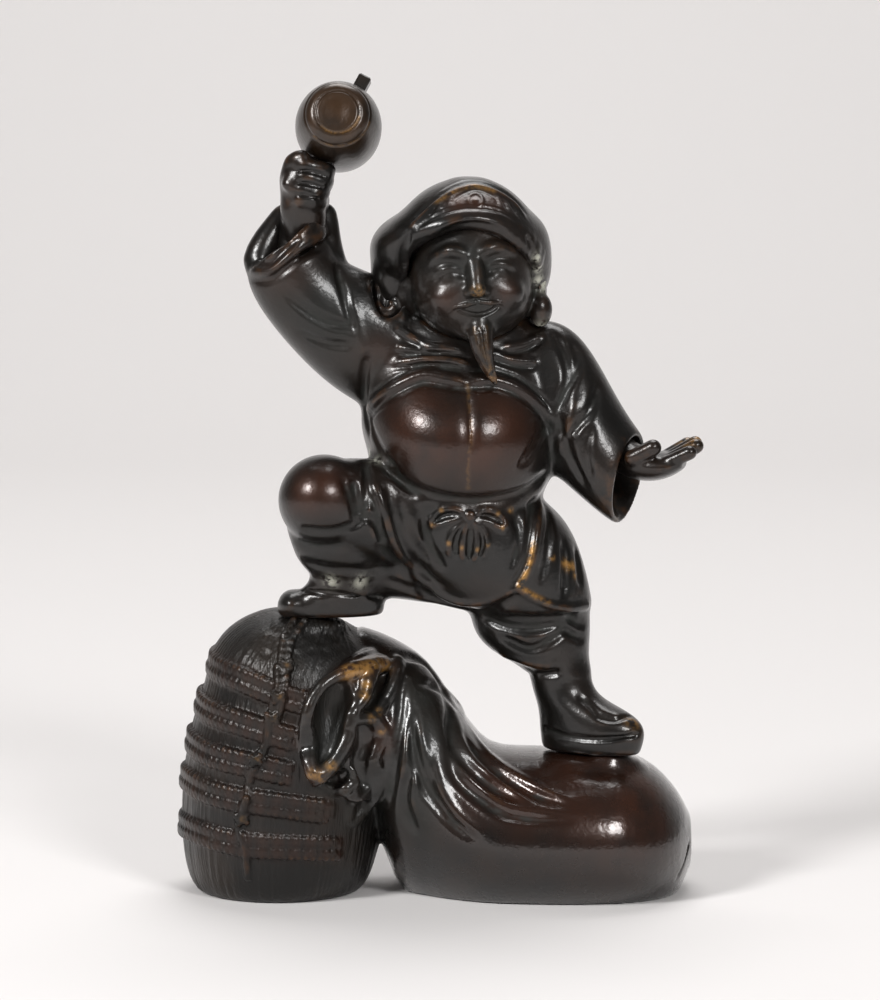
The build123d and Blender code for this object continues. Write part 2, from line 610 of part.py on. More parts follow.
# Robe skirt: a spigot above that enters the body, and sockets for both legs
with BuildPart() as robe_skirt:
    add(skirt_form.part)
    with BuildSketch(Plane.XY.offset(WAIST_Z)):
        with Locations(WAIST_CENTRE):
            Ellipse(SPIGOT_WIDTH, SPIGOT_DEPTH)
    extrude(amount=SPIGOT_HEIGHT)
    with BuildSketch(Plane.XY.offset(SKIRT_FLOOR)):
        with Locations(SKIRT_HOLLOW_CENTRE):
            Ellipse(SKIRT_HOLLOW_WIDTH, SKIRT_HOLLOW_DEPTH)
    extrude(amount=TABLE, mode=Mode.SUBTRACT)
    add(left_leg_form.part, mode=Mode.SUBTRACT)
    start, direction, length = RIGHT_HIP
    add(rod(start, direction, TENON_RADIUS + TENON_CLEARANCE, length, TENON_ROOT), mode=Mode.SUBTRACT)
    for name in ("waist_right", "waist_left", "right_hip", "left_hip"):
        add(pin_bars[name], mode=Mode.SUBTRACT)
finish("robe_skirt", robe_skirt.part)

# Head: skull, face, long ears and beard in one casting, on a neck tenon
with BuildPart() as head:
    add(head_form.part)
    start, direction, length = NECK_TENON
    add(rod(start, direction, TENON_RADIUS, length, TENON_ROOT))
    add(pin_bars["neck"], mode=Mode.SUBTRACT)
finish("head", head.part)

# Cap: a soft flat cap fitted over the skull
with BuildPart() as cap:
    add(cap_form.part)
finish("cap", cap.part)

# Right sleeve: raised, with an open cuff and a tenon at the shoulder
with BuildPart() as right_sleeve:
    add(right_sleeve_form.part)
    add(right_hand_form.part, mode=Mode.SUBTRACT)
    start, direction, length = RIGHT_SHOULDER
    add(rod(start, direction, TENON_RADIUS, length, TENON_ROOT))
    add(pin_bars["right_shoulder"], mode=Mode.SUBTRACT)
    add(pin_bars["right_wrist"], mode=Mode.SUBTRACT)
finish("right_sleeve", right_sleeve.part)

# Left sleeve: wide and hanging, with an open cuff and a tenon at the shoulder
with BuildPart() as left_sleeve:
    add(left_sleeve_form.part)
    loft(run_ovals(LEFT_CUFF), mode=Mode.SUBTRACT)
    add(left_hand_form.part, mode=Mode.SUBTRACT)
    start, direction, length = LEFT_SHOULDER
    add(rod(start, direction, TENON_RADIUS, length, TENON_ROOT))
    add(pin_bars["left_shoulder"], mode=Mode.SUBTRACT)
    add(pin_bars["left_wrist"], mode=Mode.SUBTRACT)
finish("left_sleeve", left_sleeve.part)

# Right hand: a fist with a square hole for the mallet's handle
with BuildPart() as right_hand:
    add(right_hand_form.part)
    wide, thick = HANDLE_WIDTH + 2 * HANDLE_CLEARANCE, HANDLE_THICKNESS + 2 * HANDLE_CLEARANCE
    add(bar(fist_top, wide, thick, HANDLE_CHANNEL, 0), mode=Mode.SUBTRACT)
    add(pin_bars["right_wrist"], mode=Mode.SUBTRACT)
finish("right_hand", right_hand.part)

# Left hand: open, palm up
with BuildPart() as left_hand:
    add(left_hand_form.part)
    add(pin_bars["left_wrist"], mode=Mode.SUBTRACT)
finish("left_hand", left_hand.part)

# Right leg: bent knee, shin and the seat of the trousers
with BuildPart() as right_leg:
    add(right_leg_form.part)
    start, direction, length = RIGHT_HIP
    add(rod(start, direction, TENON_RADIUS, length, TENON_ROOT))
    start, direction, length = RIGHT_ANKLE
    add(rod(start, direction, TENON_RADIUS + TENON_CLEARANCE, length, TENON_ROOT), mode=Mode.SUBTRACT)
    add(pin_bars["right_hip"], mode=Mode.SUBTRACT)
    add(pin_bars["right_ankle"], mode=Mode.SUBTRACT)
finish("right_leg", right_leg.part)

# Left leg: straight, let into the skirt
with BuildPart() as left_leg:
    add(left_leg_form.part)
    start, direction, length = LEFT_ANKLE
    add(rod(start, direction, TENON_RADIUS + TENON_CLEARANCE, length, TENON_ROOT), mode=Mode.SUBTRACT)
    add(pin_bars["left_hip"], mode=Mode.SUBTRACT)
    add(pin_bars["left_ankle"], mode=Mode.SUBTRACT)
finish("left_leg", left_leg.part)

# Boots: each has a tenon into its leg and a hole for its stud
with BuildPart() as right_boot:
    add(right_boot_form.part)
    start, direction, length = RIGHT_ANKLE
    add(rod(start, direction, TENON_RADIUS, length, TENON_ROOT))
    add(rod((*RIGHT_STUD, 0), (0, 0, 1), STUD_RADIUS, RIGHT_SOLE_Z + STUD_DEPTH), mode=Mode.SUBTRACT)
    add(pin_bars["right_ankle"], mode=Mode.SUBTRACT)
finish("right_boot", right_boot.part)

with BuildPart() as left_boot:
    add(left_boot_form.part)
    start, direction, length = LEFT_ANKLE
    add(rod(start, direction, TENON_RADIUS, length, TENON_ROOT))
    add(rod((*LEFT_STUD, 0), (0, 0, 1), STUD_RADIUS, LEFT_SOLE_Z + STUD_DEPTH), mode=Mode.SUBTRACT)
    add(pin_bars["left_ankle"], mode=Mode.SUBTRACT)
finish("left_boot", left_boot.part)

# Studs, washers and nuts, one of each under either boot
seats = [(RIGHT_STUD, RIGHT_SOLE_Z, BALE_SEAT_Z), (LEFT_STUD, LEFT_SOLE_Z, SACK_SEAT_Z)]
with BuildPart() as boot_studs:
    for place, sole, seat in seats:
        foot = seat - WASHER_THICKNESS - NUT_HEIGHT - STUD_PAST_NUT
        add(rod((*place, foot), (0, 0, 1), STUD_RADIUS, sole + STUD_DEPTH - foot))
finish("boot_studs", boot_studs.part)

with BuildPart() as boot_washers:
    for place, sole, seat in seats:
        add(rod((*place, seat), (0, 0, -1), WASHER_RADIUS, WASHER_THICKNESS))
        add(rod((*place, 0), (0, 0, 1), STUD_RADIUS + STUD_CLEARANCE, TABLE), mode=Mode.SUBTRACT)
finish("boot_washers", boot_washers.part)

with BuildPart() as boot_nuts:
    for place, sole, seat in seats:
        with BuildSketch(Plane.XY.offset(seat - WASHER_THICKNESS - NUT_HEIGHT)):
            with Locations(place):
                RegularPolygon(NUT_ACROSS / 2, 6, major_radius=False)
                Circle(STUD_RADIUS, mode=Mode.SUBTRACT)
        extrude(amount=NUT_HEIGHT)
finish("boot_nuts", boot_nuts.part)

# Cross pins, cut off flush with the outside
pin_hosts = {
    "neck": body_form,
    "right_shoulder": body_form,
    "left_shoulder": body_form,
    "waist_right": body_form,
    "waist_left": body_form,
    "right_hip": skirt_form,
    "left_hip": skirt_form,
    "right_wrist": right_sleeve_form,
    "left_wrist": left_sleeve_form,
    "right_ankle": right_leg_form,
    "left_ankle": left_leg_form,
}
pin_pieces = [pin_bars[name] & host.part for name, host in pin_hosts.items()]
with BuildPart() as joint_pins:
    for piece in pin_pieces:
        add(piece)
finish("joint_pins", joint_pins.part)

# Mallet barrel: swelling, with a raised ring on each end and a square hole for the handle
with BuildPart() as mallet_barrel:
    half = BARREL_LENGTH / 2
    with BuildSketch(fist_top):
        with BuildLine():
            Line((-half, 0), (-half, BARREL_END_RADIUS))
            ThreePointArc((-half, BARREL_END_RADIUS), (0, BARREL_RADIUS), (half, BARREL_END_RADIUS))
            Line((half, BARREL_END_RADIUS), (half, 0))
            Line((half, 0), (-half, 0))
        make_face()
    revolve(axis=Axis(MALLET_CENTRE, fist_top.x_dir))
    for end in (1, -1):
        face = Vector(MALLET_CENTRE) + fist_top.x_dir * (end * half)
        add(rod(face, fist_top.x_dir * end, RING_RADIUS, BARREL_RING))
        add(rod(face, fist_top.x_dir * end, RING_RADIUS - RING_WIDTH, TABLE), mode=Mode.SUBTRACT)
    wide, thick = HANDLE_WIDTH + 2 * BARREL_FIT, HANDLE_THICKNESS + 2 * BARREL_FIT
    add(bar(fist_top, wide, thick, BARREL_LENGTH, BARREL_LENGTH), mode=Mode.SUBTRACT)
finish("mallet_barrel", mallet_barrel.part)

# Mallet handle: a square bar through the barrel, its butt in the fist
with BuildPart() as mallet_handle:
    add(bar(fist_top, HANDLE_WIDTH, HANDLE_THICKNESS, HANDLE_BELOW, HANDLE_ABOVE))
    chamfer(mallet_handle.edges(), HANDLE_CHAMFER)
finish("mallet_handle", mallet_handle.part)
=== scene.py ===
"""Dresses the bronze okimono: sculpts each casting from its CAD node and gives it a worn, waxed patina.

Each group of castings is taken into a block of clay: signed distances on a grid of cubes, in millimetres.
The clay is softened, folds and grooves are pressed into it, and it is cut up again into one mesh per node.
"""

import math

import bpy
import numpy as np
import openvdb as vdb
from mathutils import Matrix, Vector


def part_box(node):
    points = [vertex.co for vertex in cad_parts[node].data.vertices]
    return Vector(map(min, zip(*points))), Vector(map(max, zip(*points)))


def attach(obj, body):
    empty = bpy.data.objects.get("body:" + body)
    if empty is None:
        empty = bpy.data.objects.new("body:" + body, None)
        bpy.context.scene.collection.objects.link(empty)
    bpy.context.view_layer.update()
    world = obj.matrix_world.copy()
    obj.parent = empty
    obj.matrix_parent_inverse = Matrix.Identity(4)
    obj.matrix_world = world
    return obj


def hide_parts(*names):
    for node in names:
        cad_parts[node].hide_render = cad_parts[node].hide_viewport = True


MM = 0.001
BAND = 4.5  # how far from its surface a form's distances are known
TRIANGLES = 180_000  # the most for one piece
RAY_STEP = 0.4
CLEAR = 75  # from the plane y = 0 to a place outside every form
FINE_EDGE = 0.9  # the blur that finds narrow edges and grooves
BROAD_FORM = 2.6  # the blur that finds ridges and hollows

# Camera: the photograph's view, in millimetres and degrees
CAMERA_DISTANCE = 1500.0
CAMERA_ELEVATION = 7.0
CAMERA_AIM = (0.0, 0.0, 126.0)
CAMERA_LENS = 168.75
TILT = math.radians(CAMERA_ELEVATION)
EYE = np.array(CAMERA_AIM) + CAMERA_DISTANCE * np.array([0, -math.cos(TILT), math.sin(TILT)])

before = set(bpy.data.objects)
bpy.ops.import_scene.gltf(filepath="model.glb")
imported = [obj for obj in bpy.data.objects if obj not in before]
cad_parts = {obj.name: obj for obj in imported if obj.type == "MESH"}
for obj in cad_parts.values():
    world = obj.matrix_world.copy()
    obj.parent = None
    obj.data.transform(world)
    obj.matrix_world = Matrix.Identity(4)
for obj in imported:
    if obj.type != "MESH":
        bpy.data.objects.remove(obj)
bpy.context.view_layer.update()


# Clay
def smooth_min(a, b, blend):
    """The nearer of two distances, rounded where they meet."""
    if blend <= 0:
        return np.minimum(a, b)
    share = np.clip(0.5 + 0.5 * (b - a) / blend, 0, 1)
    return b + (a - b) * share - blend * share * (1 - share)


def blur(field, sigma):
    """A soft blur of a grid, as three box blurs along each axis."""
    width = max(1, int(round(math.sqrt(4 * sigma**2 + 1))) // 2)
    span = 2 * width + 1
    for axis in range(3):
        for _ in range(3):
            pad = [(width + 1, width) if k == axis else (0, 0) for k in range(3)]
            total = np.cumsum(np.pad(field, pad, mode="edge"), axis=axis, dtype=np.float32)
            upper = [slice(span, None) if k == axis else slice(None) for k in range(3)]
            lower = [slice(None, -span) if k == axis else slice(None) for k in range(3)]
            field = (total[tuple(upper)] - total[tuple(lower)]) / span
    return field


def curve(points, step=1.0):
    """A smooth path through points, about a step apart."""
    points = np.asarray(points, dtype=float)
    full = np.vstack([2 * points[0] - points[1], points, 2 * points[-1] - points[-2]])
    out = []
    for a, b, c, d in zip(full, full[1:], full[2:], full[3:]):
        count = max(1, int(np.linalg.norm(c - b) / step))
        for t in np.arange(count) / count:
            bend = (2 * a - 5 * b + 4 * c - d) * t**2
            twist = (3 * b - a - 3 * c + d) * t**3
            out.append(0.5 * (2 * b + (c - a) * t + bend + twist))
    return np.array(out + [points[-1]])


def to_segment(x, y, z, start, along):
    """The share of a straight piece at which each point lies nearest, and the squared distance from it."""
    off = [q - s for q, s in zip((x, y, z), start)]
    share = np.clip(sum(o * a for o, a in zip(off, along)) / (along @ along + 1e-9), 0, 1)
    return share, sum((o - a * share) ** 2 for o, a in zip(off, along))


class Clay:
    """A solid kept as signed distances on a grid of cubes, made from one or more CAD nodes."""

    def __init__(self, nodes, cell, blend=0.0, soften=0.0, margin=5.0):
        corners = [[np.array(c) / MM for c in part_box(node)] for node in nodes]
        self.cell = cell
        self.low = np.min([c[0] for c in corners], axis=0) - margin
        high = np.max([c[1] for c in corners], axis=0) + margin
        self.shape = np.ceil((high - self.low) / cell).astype(int) + 1
        self.d = np.full(self.shape, BAND, np.float32)
        self.parts = {}
        self.tints = {}
        for node, (node_low, node_high) in zip(nodes, corners):
            where, _ = self.window(node_low - BAND, node_high + BAND)
            self.parts[node] = (where, self.level_set(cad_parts[node], where))
            self.d[where] = smooth_min(self.d[where], self.parts[node][1], blend)
        if soften:
            self.d = blur(self.d, soften / cell)

    def level_set(self, obj, where):
        """Distances to a mesh, in a window of the grid."""
        mesh = obj.data
        mesh.calc_loop_triangles()
        points = np.empty(len(mesh.vertices) * 3)
        mesh.vertices.foreach_get("co", points)
        world = np.array(obj.matrix_world)
        points = (points.reshape(-1, 3) @ world[:3, :3].T + world[:3, 3]) / MM
        triangles = np.empty(len(mesh.loop_triangles) * 3, np.int32)
        mesh.loop_triangles.foreach_get("vertices", triangles)
        start = np.array([s.start for s in where])
        grid = vdb.FloatGrid.createLevelSetFromPolygons(
            ((points - self.low) / self.cell - start).astype(np.float32),
            triangles=triangles.reshape(-1, 3).astype(np.uint32),
            halfWidth=BAND / self.cell,
        )
        field = np.empty([s.stop - s.start for s in where], np.float32)
        grid.copyToArray(field, ijk=(0, 0, 0))
        return field * self.cell

    def window(self, low, high):
        """The part of the grid between two corners, and its coordinates."""
        first = np.floor((np.asarray(low) - self.low) / self.cell).astype(int)
        first = np.clip(first, 0, self.shape - 1)
        last = np.ceil((np.asarray(high) - self.low) / self.cell).astype(int) + 1
        last = np.clip(last, first + 1, self.shape)
        where = tuple(slice(a, b) for a, b in zip(first, last))
        axes = [o + np.arange(a, b) * self.cell for o, a, b in zip(self.low, first, last)]
        return where, np.meshgrid(*[q.astype(np.float32) for q in axes], indexing="ij", sparse=True)

    def shape_in(self, low, high, distance, blend, cut=False):
        """Joins or cuts a form given by its distances."""
        where, xyz = self.window(np.asarray(low) - blend - 1, np.asarray(high) + blend + 1)
        old, form = self.d[where], distance(*xyz)
        self.d[where] = -smooth_min(-old, form, blend) if cut else smooth_min(old, form, blend)

    def ball(self, centre, radii, blend=1.0, cut=False):
        """An ellipsoid."""
        centre, radii = np.asarray(centre, float), np.broadcast_to(np.asarray(radii, float), 3)

        def distance(x, y, z):
            near = np.sqrt(sum(((q - c) / r) ** 2 for q, c, r in zip((x, y, z), centre, radii)))
            return (near - 1) * radii.min()

        self.shape_in(centre - radii, centre + radii, distance, blend, cut)

    def tube(self, path, start, end, blend=1.0, cut=False):
        """A round bar along a path, from one radius to another."""
        path = curve(path, 2.0)
        radii = np.linspace(start, end, len(path))
        for a, b, ra, rb in zip(path, path[1:], radii, radii[1:]):
            reach = max(ra, rb)

            def distance(x, y, z):
                share, square = to_segment(x, y, z, a, b - a)
                return np.sqrt(square) - (ra + (rb - ra) * share)

            self.shape_in(np.minimum(a, b) - reach, np.maximum(a, b) + reach, distance, blend, cut)

    def channel(self, centre, along, across, half_length, half_width, half_height):
        """Cuts a square hole through the clay, its middle, direction and half sizes given."""
        along, across = np.asarray(along, float), np.asarray(across, float)
        axes = [along, across, np.cross(along, across)]
        halves = (half_length, half_width, half_height)

        def distance(x, y, z):
            off = [x - centre[0], y - centre[1], z - centre[2]]
            sides = [sum(a * q for a, q in zip(axis, off)) for axis in axes]
            return np.maximum.reduce([abs(side) - half for side, half in zip(sides, halves)])

        reach = np.abs(np.array(axes)).T @ halves
        self.shape_in(centre - reach, centre + reach, distance, 0.0, cut=True)

    def fold(self, path, width, height, fade=0.2):
        """Raises the surface along a path that fades at its ends; a negative height presses a groove."""
        path = curve(path, 1.0)
        reach = 2.4 * width
        where, _ = self.window(path.min(0) - reach, path.max(0) + reach)
        lift = np.zeros(self.d[where].shape, np.float32)
        start = np.array([s.start for s in where])
        for k, (a, b) in enumerate(zip(path, path[1:])):
            t = (k + 0.5) / (len(path) - 1)
            strength = min(1.0, t / fade, (1 - t) / fade) if fade else 1.0
            near, (x, y, z) = self.window(np.minimum(a, b) - reach, np.maximum(a, b) + reach)
            _, square = to_segment(x, y, z, a, b - a)
            local = tuple(slice(q.start - o, q.stop - o) for q, o in zip(near, start))
            lift[local] = np.maximum(lift[local], strength * np.exp(-square / width**2))
        self.d[where] -= height * lift

    def swell(self, centre, radius, height):
        """A soft swelling or hollow round a point."""
        centre = np.asarray(centre, float)
        where, (x, y, z) = self.window(centre - 2.2 * radius, centre + 2.2 * radius)
        square = (x - centre[0]) ** 2 + (y - centre[1]) ** 2 + (z - centre[2]) ** 2
        self.d[where] -= height * np.exp(-square / radius**2)

    def sample(self, field, points):
        """Values of a grid at points in millimetres, between its cells."""
        place = (points - self.low) / self.cell
        base = np.clip(np.floor(place).astype(int), 0, np.array(field.shape) - 2)
        part = np.clip(place - base, 0, 1)
        total = 0
        for corner in np.ndindex(2, 2, 2):
            weight = np.prod([part[:, k] if corner[k] else 1 - part[:, k] for k in range(3)], axis=0)
            total = total + weight * field[tuple((base + corner).T)]
        return total

    def cast(self, starts, rays, reach=150.0):
        """The first points of the surface met by rays; a ray that misses gives none."""
        steps = np.arange(0, reach, RAY_STEP)[:, None]
        hits = []
        for start, ray in zip(starts, rays):
            line = start + steps * ray
            inside = self.sample(self.d, line) < 0
            inside &= np.all((line > self.low) & (line < self.low + self.shape * self.cell), axis=1)
            if inside.any():
                hits.append(line[np.argmax(inside)])
        return np.array(hits)

    def seen(self, points, back=False):
        """The surface seen at (x, z) points of the plane y = 0, by the camera or straight from the back."""
        flat = np.array([(x, 0.0, z) for x, z in points])
        if back:
            return self.cast(flat + (0, CLEAR, 0), np.tile((0.0, -1.0, 0.0), (len(flat), 1)))
        rays = flat - EYE
        rays /= np.linalg.norm(rays, axis=1)[:, None]
        return self.cast(flat - CLEAR * rays, rays)

    def crease(self, points, width, height, fade=0.2, back=False, shift=(0, 0)):
        """A fold or groove along (x, z) points, or beside them by a shift, on the front or the back."""
        path = self.seen(np.add(points, shift), back)
        if len(path) > 1:
            self.fold(path, width, height, fade)

    def tint(self, mark, points, radius, strength):
        """Marks soft spots round points for the patina."""
        self.tints.setdefault(mark, []).append((np.atleast_2d(points), radius, strength))

    def stain(self, mark, points, radius, strength):
        """Marks soft spots where the camera sees (x, z) points."""
        self.tint(mark, self.seen(points), radius, strength)

    def pieces(self):
        """Cuts the clay into one mesh object per node, with its edges and hollows marked for the patina."""
        grid = vdb.FloatGrid(background=BAND)
        grid.copyFromArray(self.d)
        points, quads = grid.convertToQuads(0.0)
        points = points * self.cell + self.low
        quads = quads[:, ::-1]
        fine = self.sample(blur(self.d, FINE_EDGE / self.cell) - self.d, points)
        broad = self.sample(blur(self.d, BROAD_FORM / self.cell) - self.d, points)
        centres = points[quads].mean(axis=1)
        nearest = np.full(len(quads), 1e9)
        owner = np.zeros(len(quads), int)
        for k, (where, field) in enumerate(self.parts.values()):
            full = np.full(self.shape, BAND, np.float32)
            full[where] = field
            near = self.sample(full, centres)
            owner[near < nearest] = k
            nearest = np.minimum(nearest, near)
        marks = {"fine": fine, "broad": broad}
        for mark in ("warm", "gold", "pale", "dull"):
            marks[mark] = np.zeros(len(points))
            for spots, radius, strength in self.tints.get(mark, []):
                for spot in spots:
                    square = ((points - spot) ** 2).sum(axis=1)
                    marks[mark] = np.maximum(marks[mark], strength * np.exp(-square / radius**2))
        made = {}
        for k, node in enumerate(self.parts):
            faces = quads[owner == k]
            used, flat = np.unique(faces, return_inverse=True)
            own_marks = {mark: values[used] for mark, values in marks.items()}
            made[node] = mesh_object(node, points[used] * MM, flat.reshape(-1, 4), own_marks)
        return made


def mesh_object(name, points, faces, marks):
    """A smooth-shaded mesh object with number marks on its points."""
    mesh = bpy.data.meshes.new(name + "_sculpt")
    mesh.from_pydata(points.tolist(), [], faces.tolist())
    for mark, values in marks.items():
        attribute = mesh.attributes.new(mark, "FLOAT", "POINT")
        attribute.data.foreach_set("value", np.asarray(values, np.float32))
    mesh.polygons.foreach_set("use_smooth", np.ones(len(mesh.polygons), bool))
    mesh.update()
    obj = bpy.data.objects.new(name + "_sculpt", mesh)
    bpy.context.scene.collection.objects.link(obj)
    if 2 * len(faces) > TRIANGLES:
        lighter = obj.modifiers.new("lighter", "DECIMATE")
        lighter.ratio = TRIANGLES / (2 * len(faces))
        obj.data = bpy.data.meshes.new_from_object(obj.evaluated_get(bpy.context.evaluated_depsgraph_get()))
        obj.modifiers.clear()
    return obj


# Robe, sleeves, trousers and boots
def press_belly(clay):
    """Two full halves between the robe's edges, with a line down the middle."""
    clay.swell(clay.seen([(-7, 150)])[0], 13.0, 1.2)
    clay.swell(clay.seen([(22, 149)])[0], 13.0, 1.2)
    middle = [(8.8, 163), (9.4, 155), (9.8, 145), (8.8, 138), (9, 130)]
    clay.crease(middle, 2.2, -0.8)
    clay.crease(middle, 0.7, -0.5)
    clay.stain("gold", curve(middle, 0.6), 0.7, 0.13)
    for edge in (
        [(-23, 154.5), (-18.5, 159.5), (-13, 163), (-5.5, 166), (2, 165), (8.5, 163.5)],
        [(9.5, 164), (17, 164.5), (25.5, 161.5), (32, 156), (35.5, 151)],
    ):
        clay.crease(edge, 1.8, -1.3, fade=0.1, shift=(0, -2.0))
        clay.crease(edge, 1.5, 1.9, fade=0.1)
        clay.crease(edge, 1.0, -0.7, shift=(0, 3.2))
    for groove in (
        [(-22, 154), (-21.5, 148.5), (-18.5, 142), (-13, 135.5)],
        [(34.5, 150.5), (31, 143), (26.5, 136.5)],
        [(31.5, 147.5), (28, 141), (25, 136.5)],
        [(-24.5, 163), (-24, 155), (-22.5, 147)],
    ):
        clay.crease(groove, 1.3, -1.2)


def press_collar(clay):
    """Collar and lapels under the beard."""
    for ridge in (
        [(-14, 175), (-7.5, 174.5), (1, 175), (8, 174)],
        [(-15, 170), (-4.5, 171.5), (4, 171), (10.5, 169)],
        [(16, 173.5), (23.5, 171), (30.5, 170.5)],
        [(20, 175), (26.5, 176), (32.5, 179)],
        [(-14, 182), (-7, 177), (0, 174.5)],
    ):
        clay.crease(ridge, 1.1, 1.3)
        clay.crease(ridge, 1.0, -0.8, shift=(0, -2.0))


def press_sash(clay):
    """A sash with a bow in low relief."""
    sash = [(-19, 134), (-9, 127), (2, 123.5), (15, 123), (27, 126), (34, 132)]
    clay.crease(sash, 2.0, -1.5, fade=0.08, shift=(0, 3.0))
    clay.crease(sash, 2.4, 0.7, fade=0.08)
    left_loop = [(8.5, 121), (5, 123), (0.5, 122.6), (-2.6, 119.6)]
    left_loop += [(-2.4, 117.8), (2, 118.6), (8, 120.5)]
    right_loop = [(11, 121), (14.5, 122.8), (18.5, 121.6), (20.8, 119)]
    right_loop += [(20, 117), (16, 118.8), (11.5, 120)]
    tails = (
        [(8.8, 119.5), (4.6, 116), (2.8, 112), (3, 108.6)],
        [(9.4, 119.5), (7.6, 115), (7, 110.6), (7.4, 107.4)],
        [(10.4, 119.5), (12.2, 115.5), (12, 110), (10.8, 107)],
        [(10.9, 119.5), (14.2, 116), (15.2, 111.5), (14, 107.6)],
    )
    for ribbon in (left_loop, right_loop, *tails):
        clay.crease(ribbon, 1.5, 0.6, fade=0.1)
        clay.crease(ribbon, 0.7, 0.95, fade=0.1)
        clay.stain("gold", ribbon[2:-1:2], 0.7, 0.5)
    for inside in (
        [(5, 121.4), (1.5, 121), (-0.8, 119.6)],
        [(14, 121), (16.5, 120.6), (18.6, 119.2)],
        [(6.6, 117), (5.2, 112.6), (5.2, 108.4)],
        [(9.8, 117), (9.6, 112), (9.2, 107)],
        [(12.8, 117), (13.8, 112), (12.6, 107.6)],
    ):
        clay.crease(inside, 1.0, -1.1)
    clay.ball(clay.seen([(9.6, 120.8)])[0], (1.8, 1.2, 1.7), blend=0.8)


def press_skirt(clay):
    """The apron's edges, its folds and its worn gold."""
    left_edge = [(-21, 131.5), (-18, 123), (-15, 112), (-8.5, 102.5)]
    left_edge += [(-1, 96.5), (5, 93.5), (12, 92.8)]
    clay.crease(left_edge, 1.7, -1.6, fade=0.08, shift=(-1.8, -1.4))
    clay.crease(left_edge, 1.3, 1.8, fade=0.08)
    hem = [(-8, 100.5), (-1, 94.6), (6, 91.4), (13, 91.6), (19.5, 93.8), (24.5, 96.6)]
    clay.crease(hem, 2.0, -1.8, fade=0.1, shift=(0, -1.6))
    clay.crease(hem, 1.2, 1.0, fade=0.1, shift=(0, 1.0))
    panel_edge = [(32, 126), (31, 116), (29, 105), (25, 98)]
    clay.crease(panel_edge, 1.6, -1.5, fade=0.1, shift=(-2.0, 0))
    clay.crease(panel_edge, 1.2, 1.3, fade=0.1)
    for gilt in (
        [(29.8, 112), (29, 106.5), (27.4, 102), (25.4, 98.6)],
        [(25.4, 98.2), (29.5, 95.4), (34.6, 92.8)],
    ):
        clay.stain("gold", curve(gilt, 0.6), 0.75, 1.0)
    clay.stain("gold", [(40.4, 105.6), (41.4, 104.4), (42.6, 104.6), (43.6, 102)], 1.3, 1.0)
    clay.stain("gold", [(36, 107.4), (22.5, 122.8)], 0.8, 0.8)
    clay.crease([(25, 97.5), (29.5, 94.5), (35, 92.2), (41.5, 91), (47.5, 92)], 1.1, 1.2, fade=0.05)
    for groove in (
        [(-17, 130.5), (-14.5, 120.5), (-11, 110), (-4.5, 102.5), (3, 97.5)],
        [(-13, 126), (-10, 115), (-4, 106)],
        [(-6, 120), (-3, 111), (1, 104)],
        [(24, 121), (25.5, 114), (23, 104)],
        [(34, 124), (34.5, 111), (32, 99)],
        [(37.5, 124), (39.5, 113), (40, 102.5), (39.5, 94.5)],
        [(40.5, 120.5), (43.5, 110), (45, 99)],
    ):
        clay.crease(groove, 1.5, -1.3)


def press_right_leg(clay):
    """Full trousers over the bent knee, gathered at the boot."""
    clay.fold([(-49.5, -14, 117), (-49, -13, 110), (-46.5, -11, 104)], 5.0, -2.6, fade=0.3)
    clay.swell(clay.seen([(-41, 129)])[0], 11.0, 1.0)
    for groove in (
        [(-34, 140.5), (-31, 132.5), (-28, 125), (-26.5, 119)],
        [(-29.5, 140), (-27.5, 131.5), (-26, 121.5)],
        [(-24, 138), (-23.5, 129), (-25.5, 120)],
        [(-51.5, 120.5), (-44, 117), (-35.5, 116), (-28.5, 117.5), (-25, 120)],
        [(-24, 121), (-20.5, 118.5), (-18, 113)],
        [(-20, 112), (-12, 105), (-4.5, 98), (5, 92)],
        [(-17, 100.5), (-8.5, 97), (1, 93.5), (9, 91)],
    ):
        clay.crease(groove, 1.5, -1.7, fade=0.15)
    clay.crease([(-46, 113), (-38.5, 111), (-31, 111.4)], 1.8, -0.7)
    clay.crease([(-44, 106.5), (-36.5, 104), (-29, 103.5), (-18.5, 104)], 1.8, -1.1, fade=0.15)
    clay.ball((-47, -10, 94.2), (4.4, 7.6, 4.2), blend=2.0)
    clay.ball(clay.seen([(-37.6, 93.6)])[0] + (0, 1.6, 0), (2.6, 1.8, 2.6), blend=0.6)
    clay.crease([(-52, 97.4), (-44, 96.6), (-34, 95.8), (-19, 94.6)], 0.9, -1.1, fade=0.05)


def press_left_leg(clay):
    """The straight leg and its boot."""
    for groove in (
        [(14, 88.5), (22, 85), (31, 84.5), (39.5, 86)],
        [(19.5, 82), (28.5, 78), (36, 81), (40.5, 84.5)],
        [(39.5, 84), (45.5, 81), (49.5, 83.5)],
        [(41.5, 88), (45.5, 85.5), (48.5, 88.5)],
    ):
        clay.crease(groove, 1.4, -1.6)
    cuff = [(19, 76.5), (24.5, 74.5), (31, 72.5), (38, 73), (48, 77)]
    clay.crease(cuff, 1.6, 1.0, fade=0.15)
    clay.crease(cuff[:-1], 1.4, -1.2, fade=0.15, shift=(0, -2.8))
    clay.crease([(44.5, 62.5), (48, 60), (51, 56.5), (56.5, 54.5)], 1.2, -1.1)
    clay.crease([(63, 59), (61.5, 56), (56.5, 54.5), (50, 55.5)], 1.0, -0.9)
    clay.crease([(33.5, 52), (41.5, 49.3), (52, 48.4), (63.5, 50)], 0.9, -1.3, fade=0.05)
    clay.stain("gold", [(61, 57), (62, 54)], 2.0, 0.7)


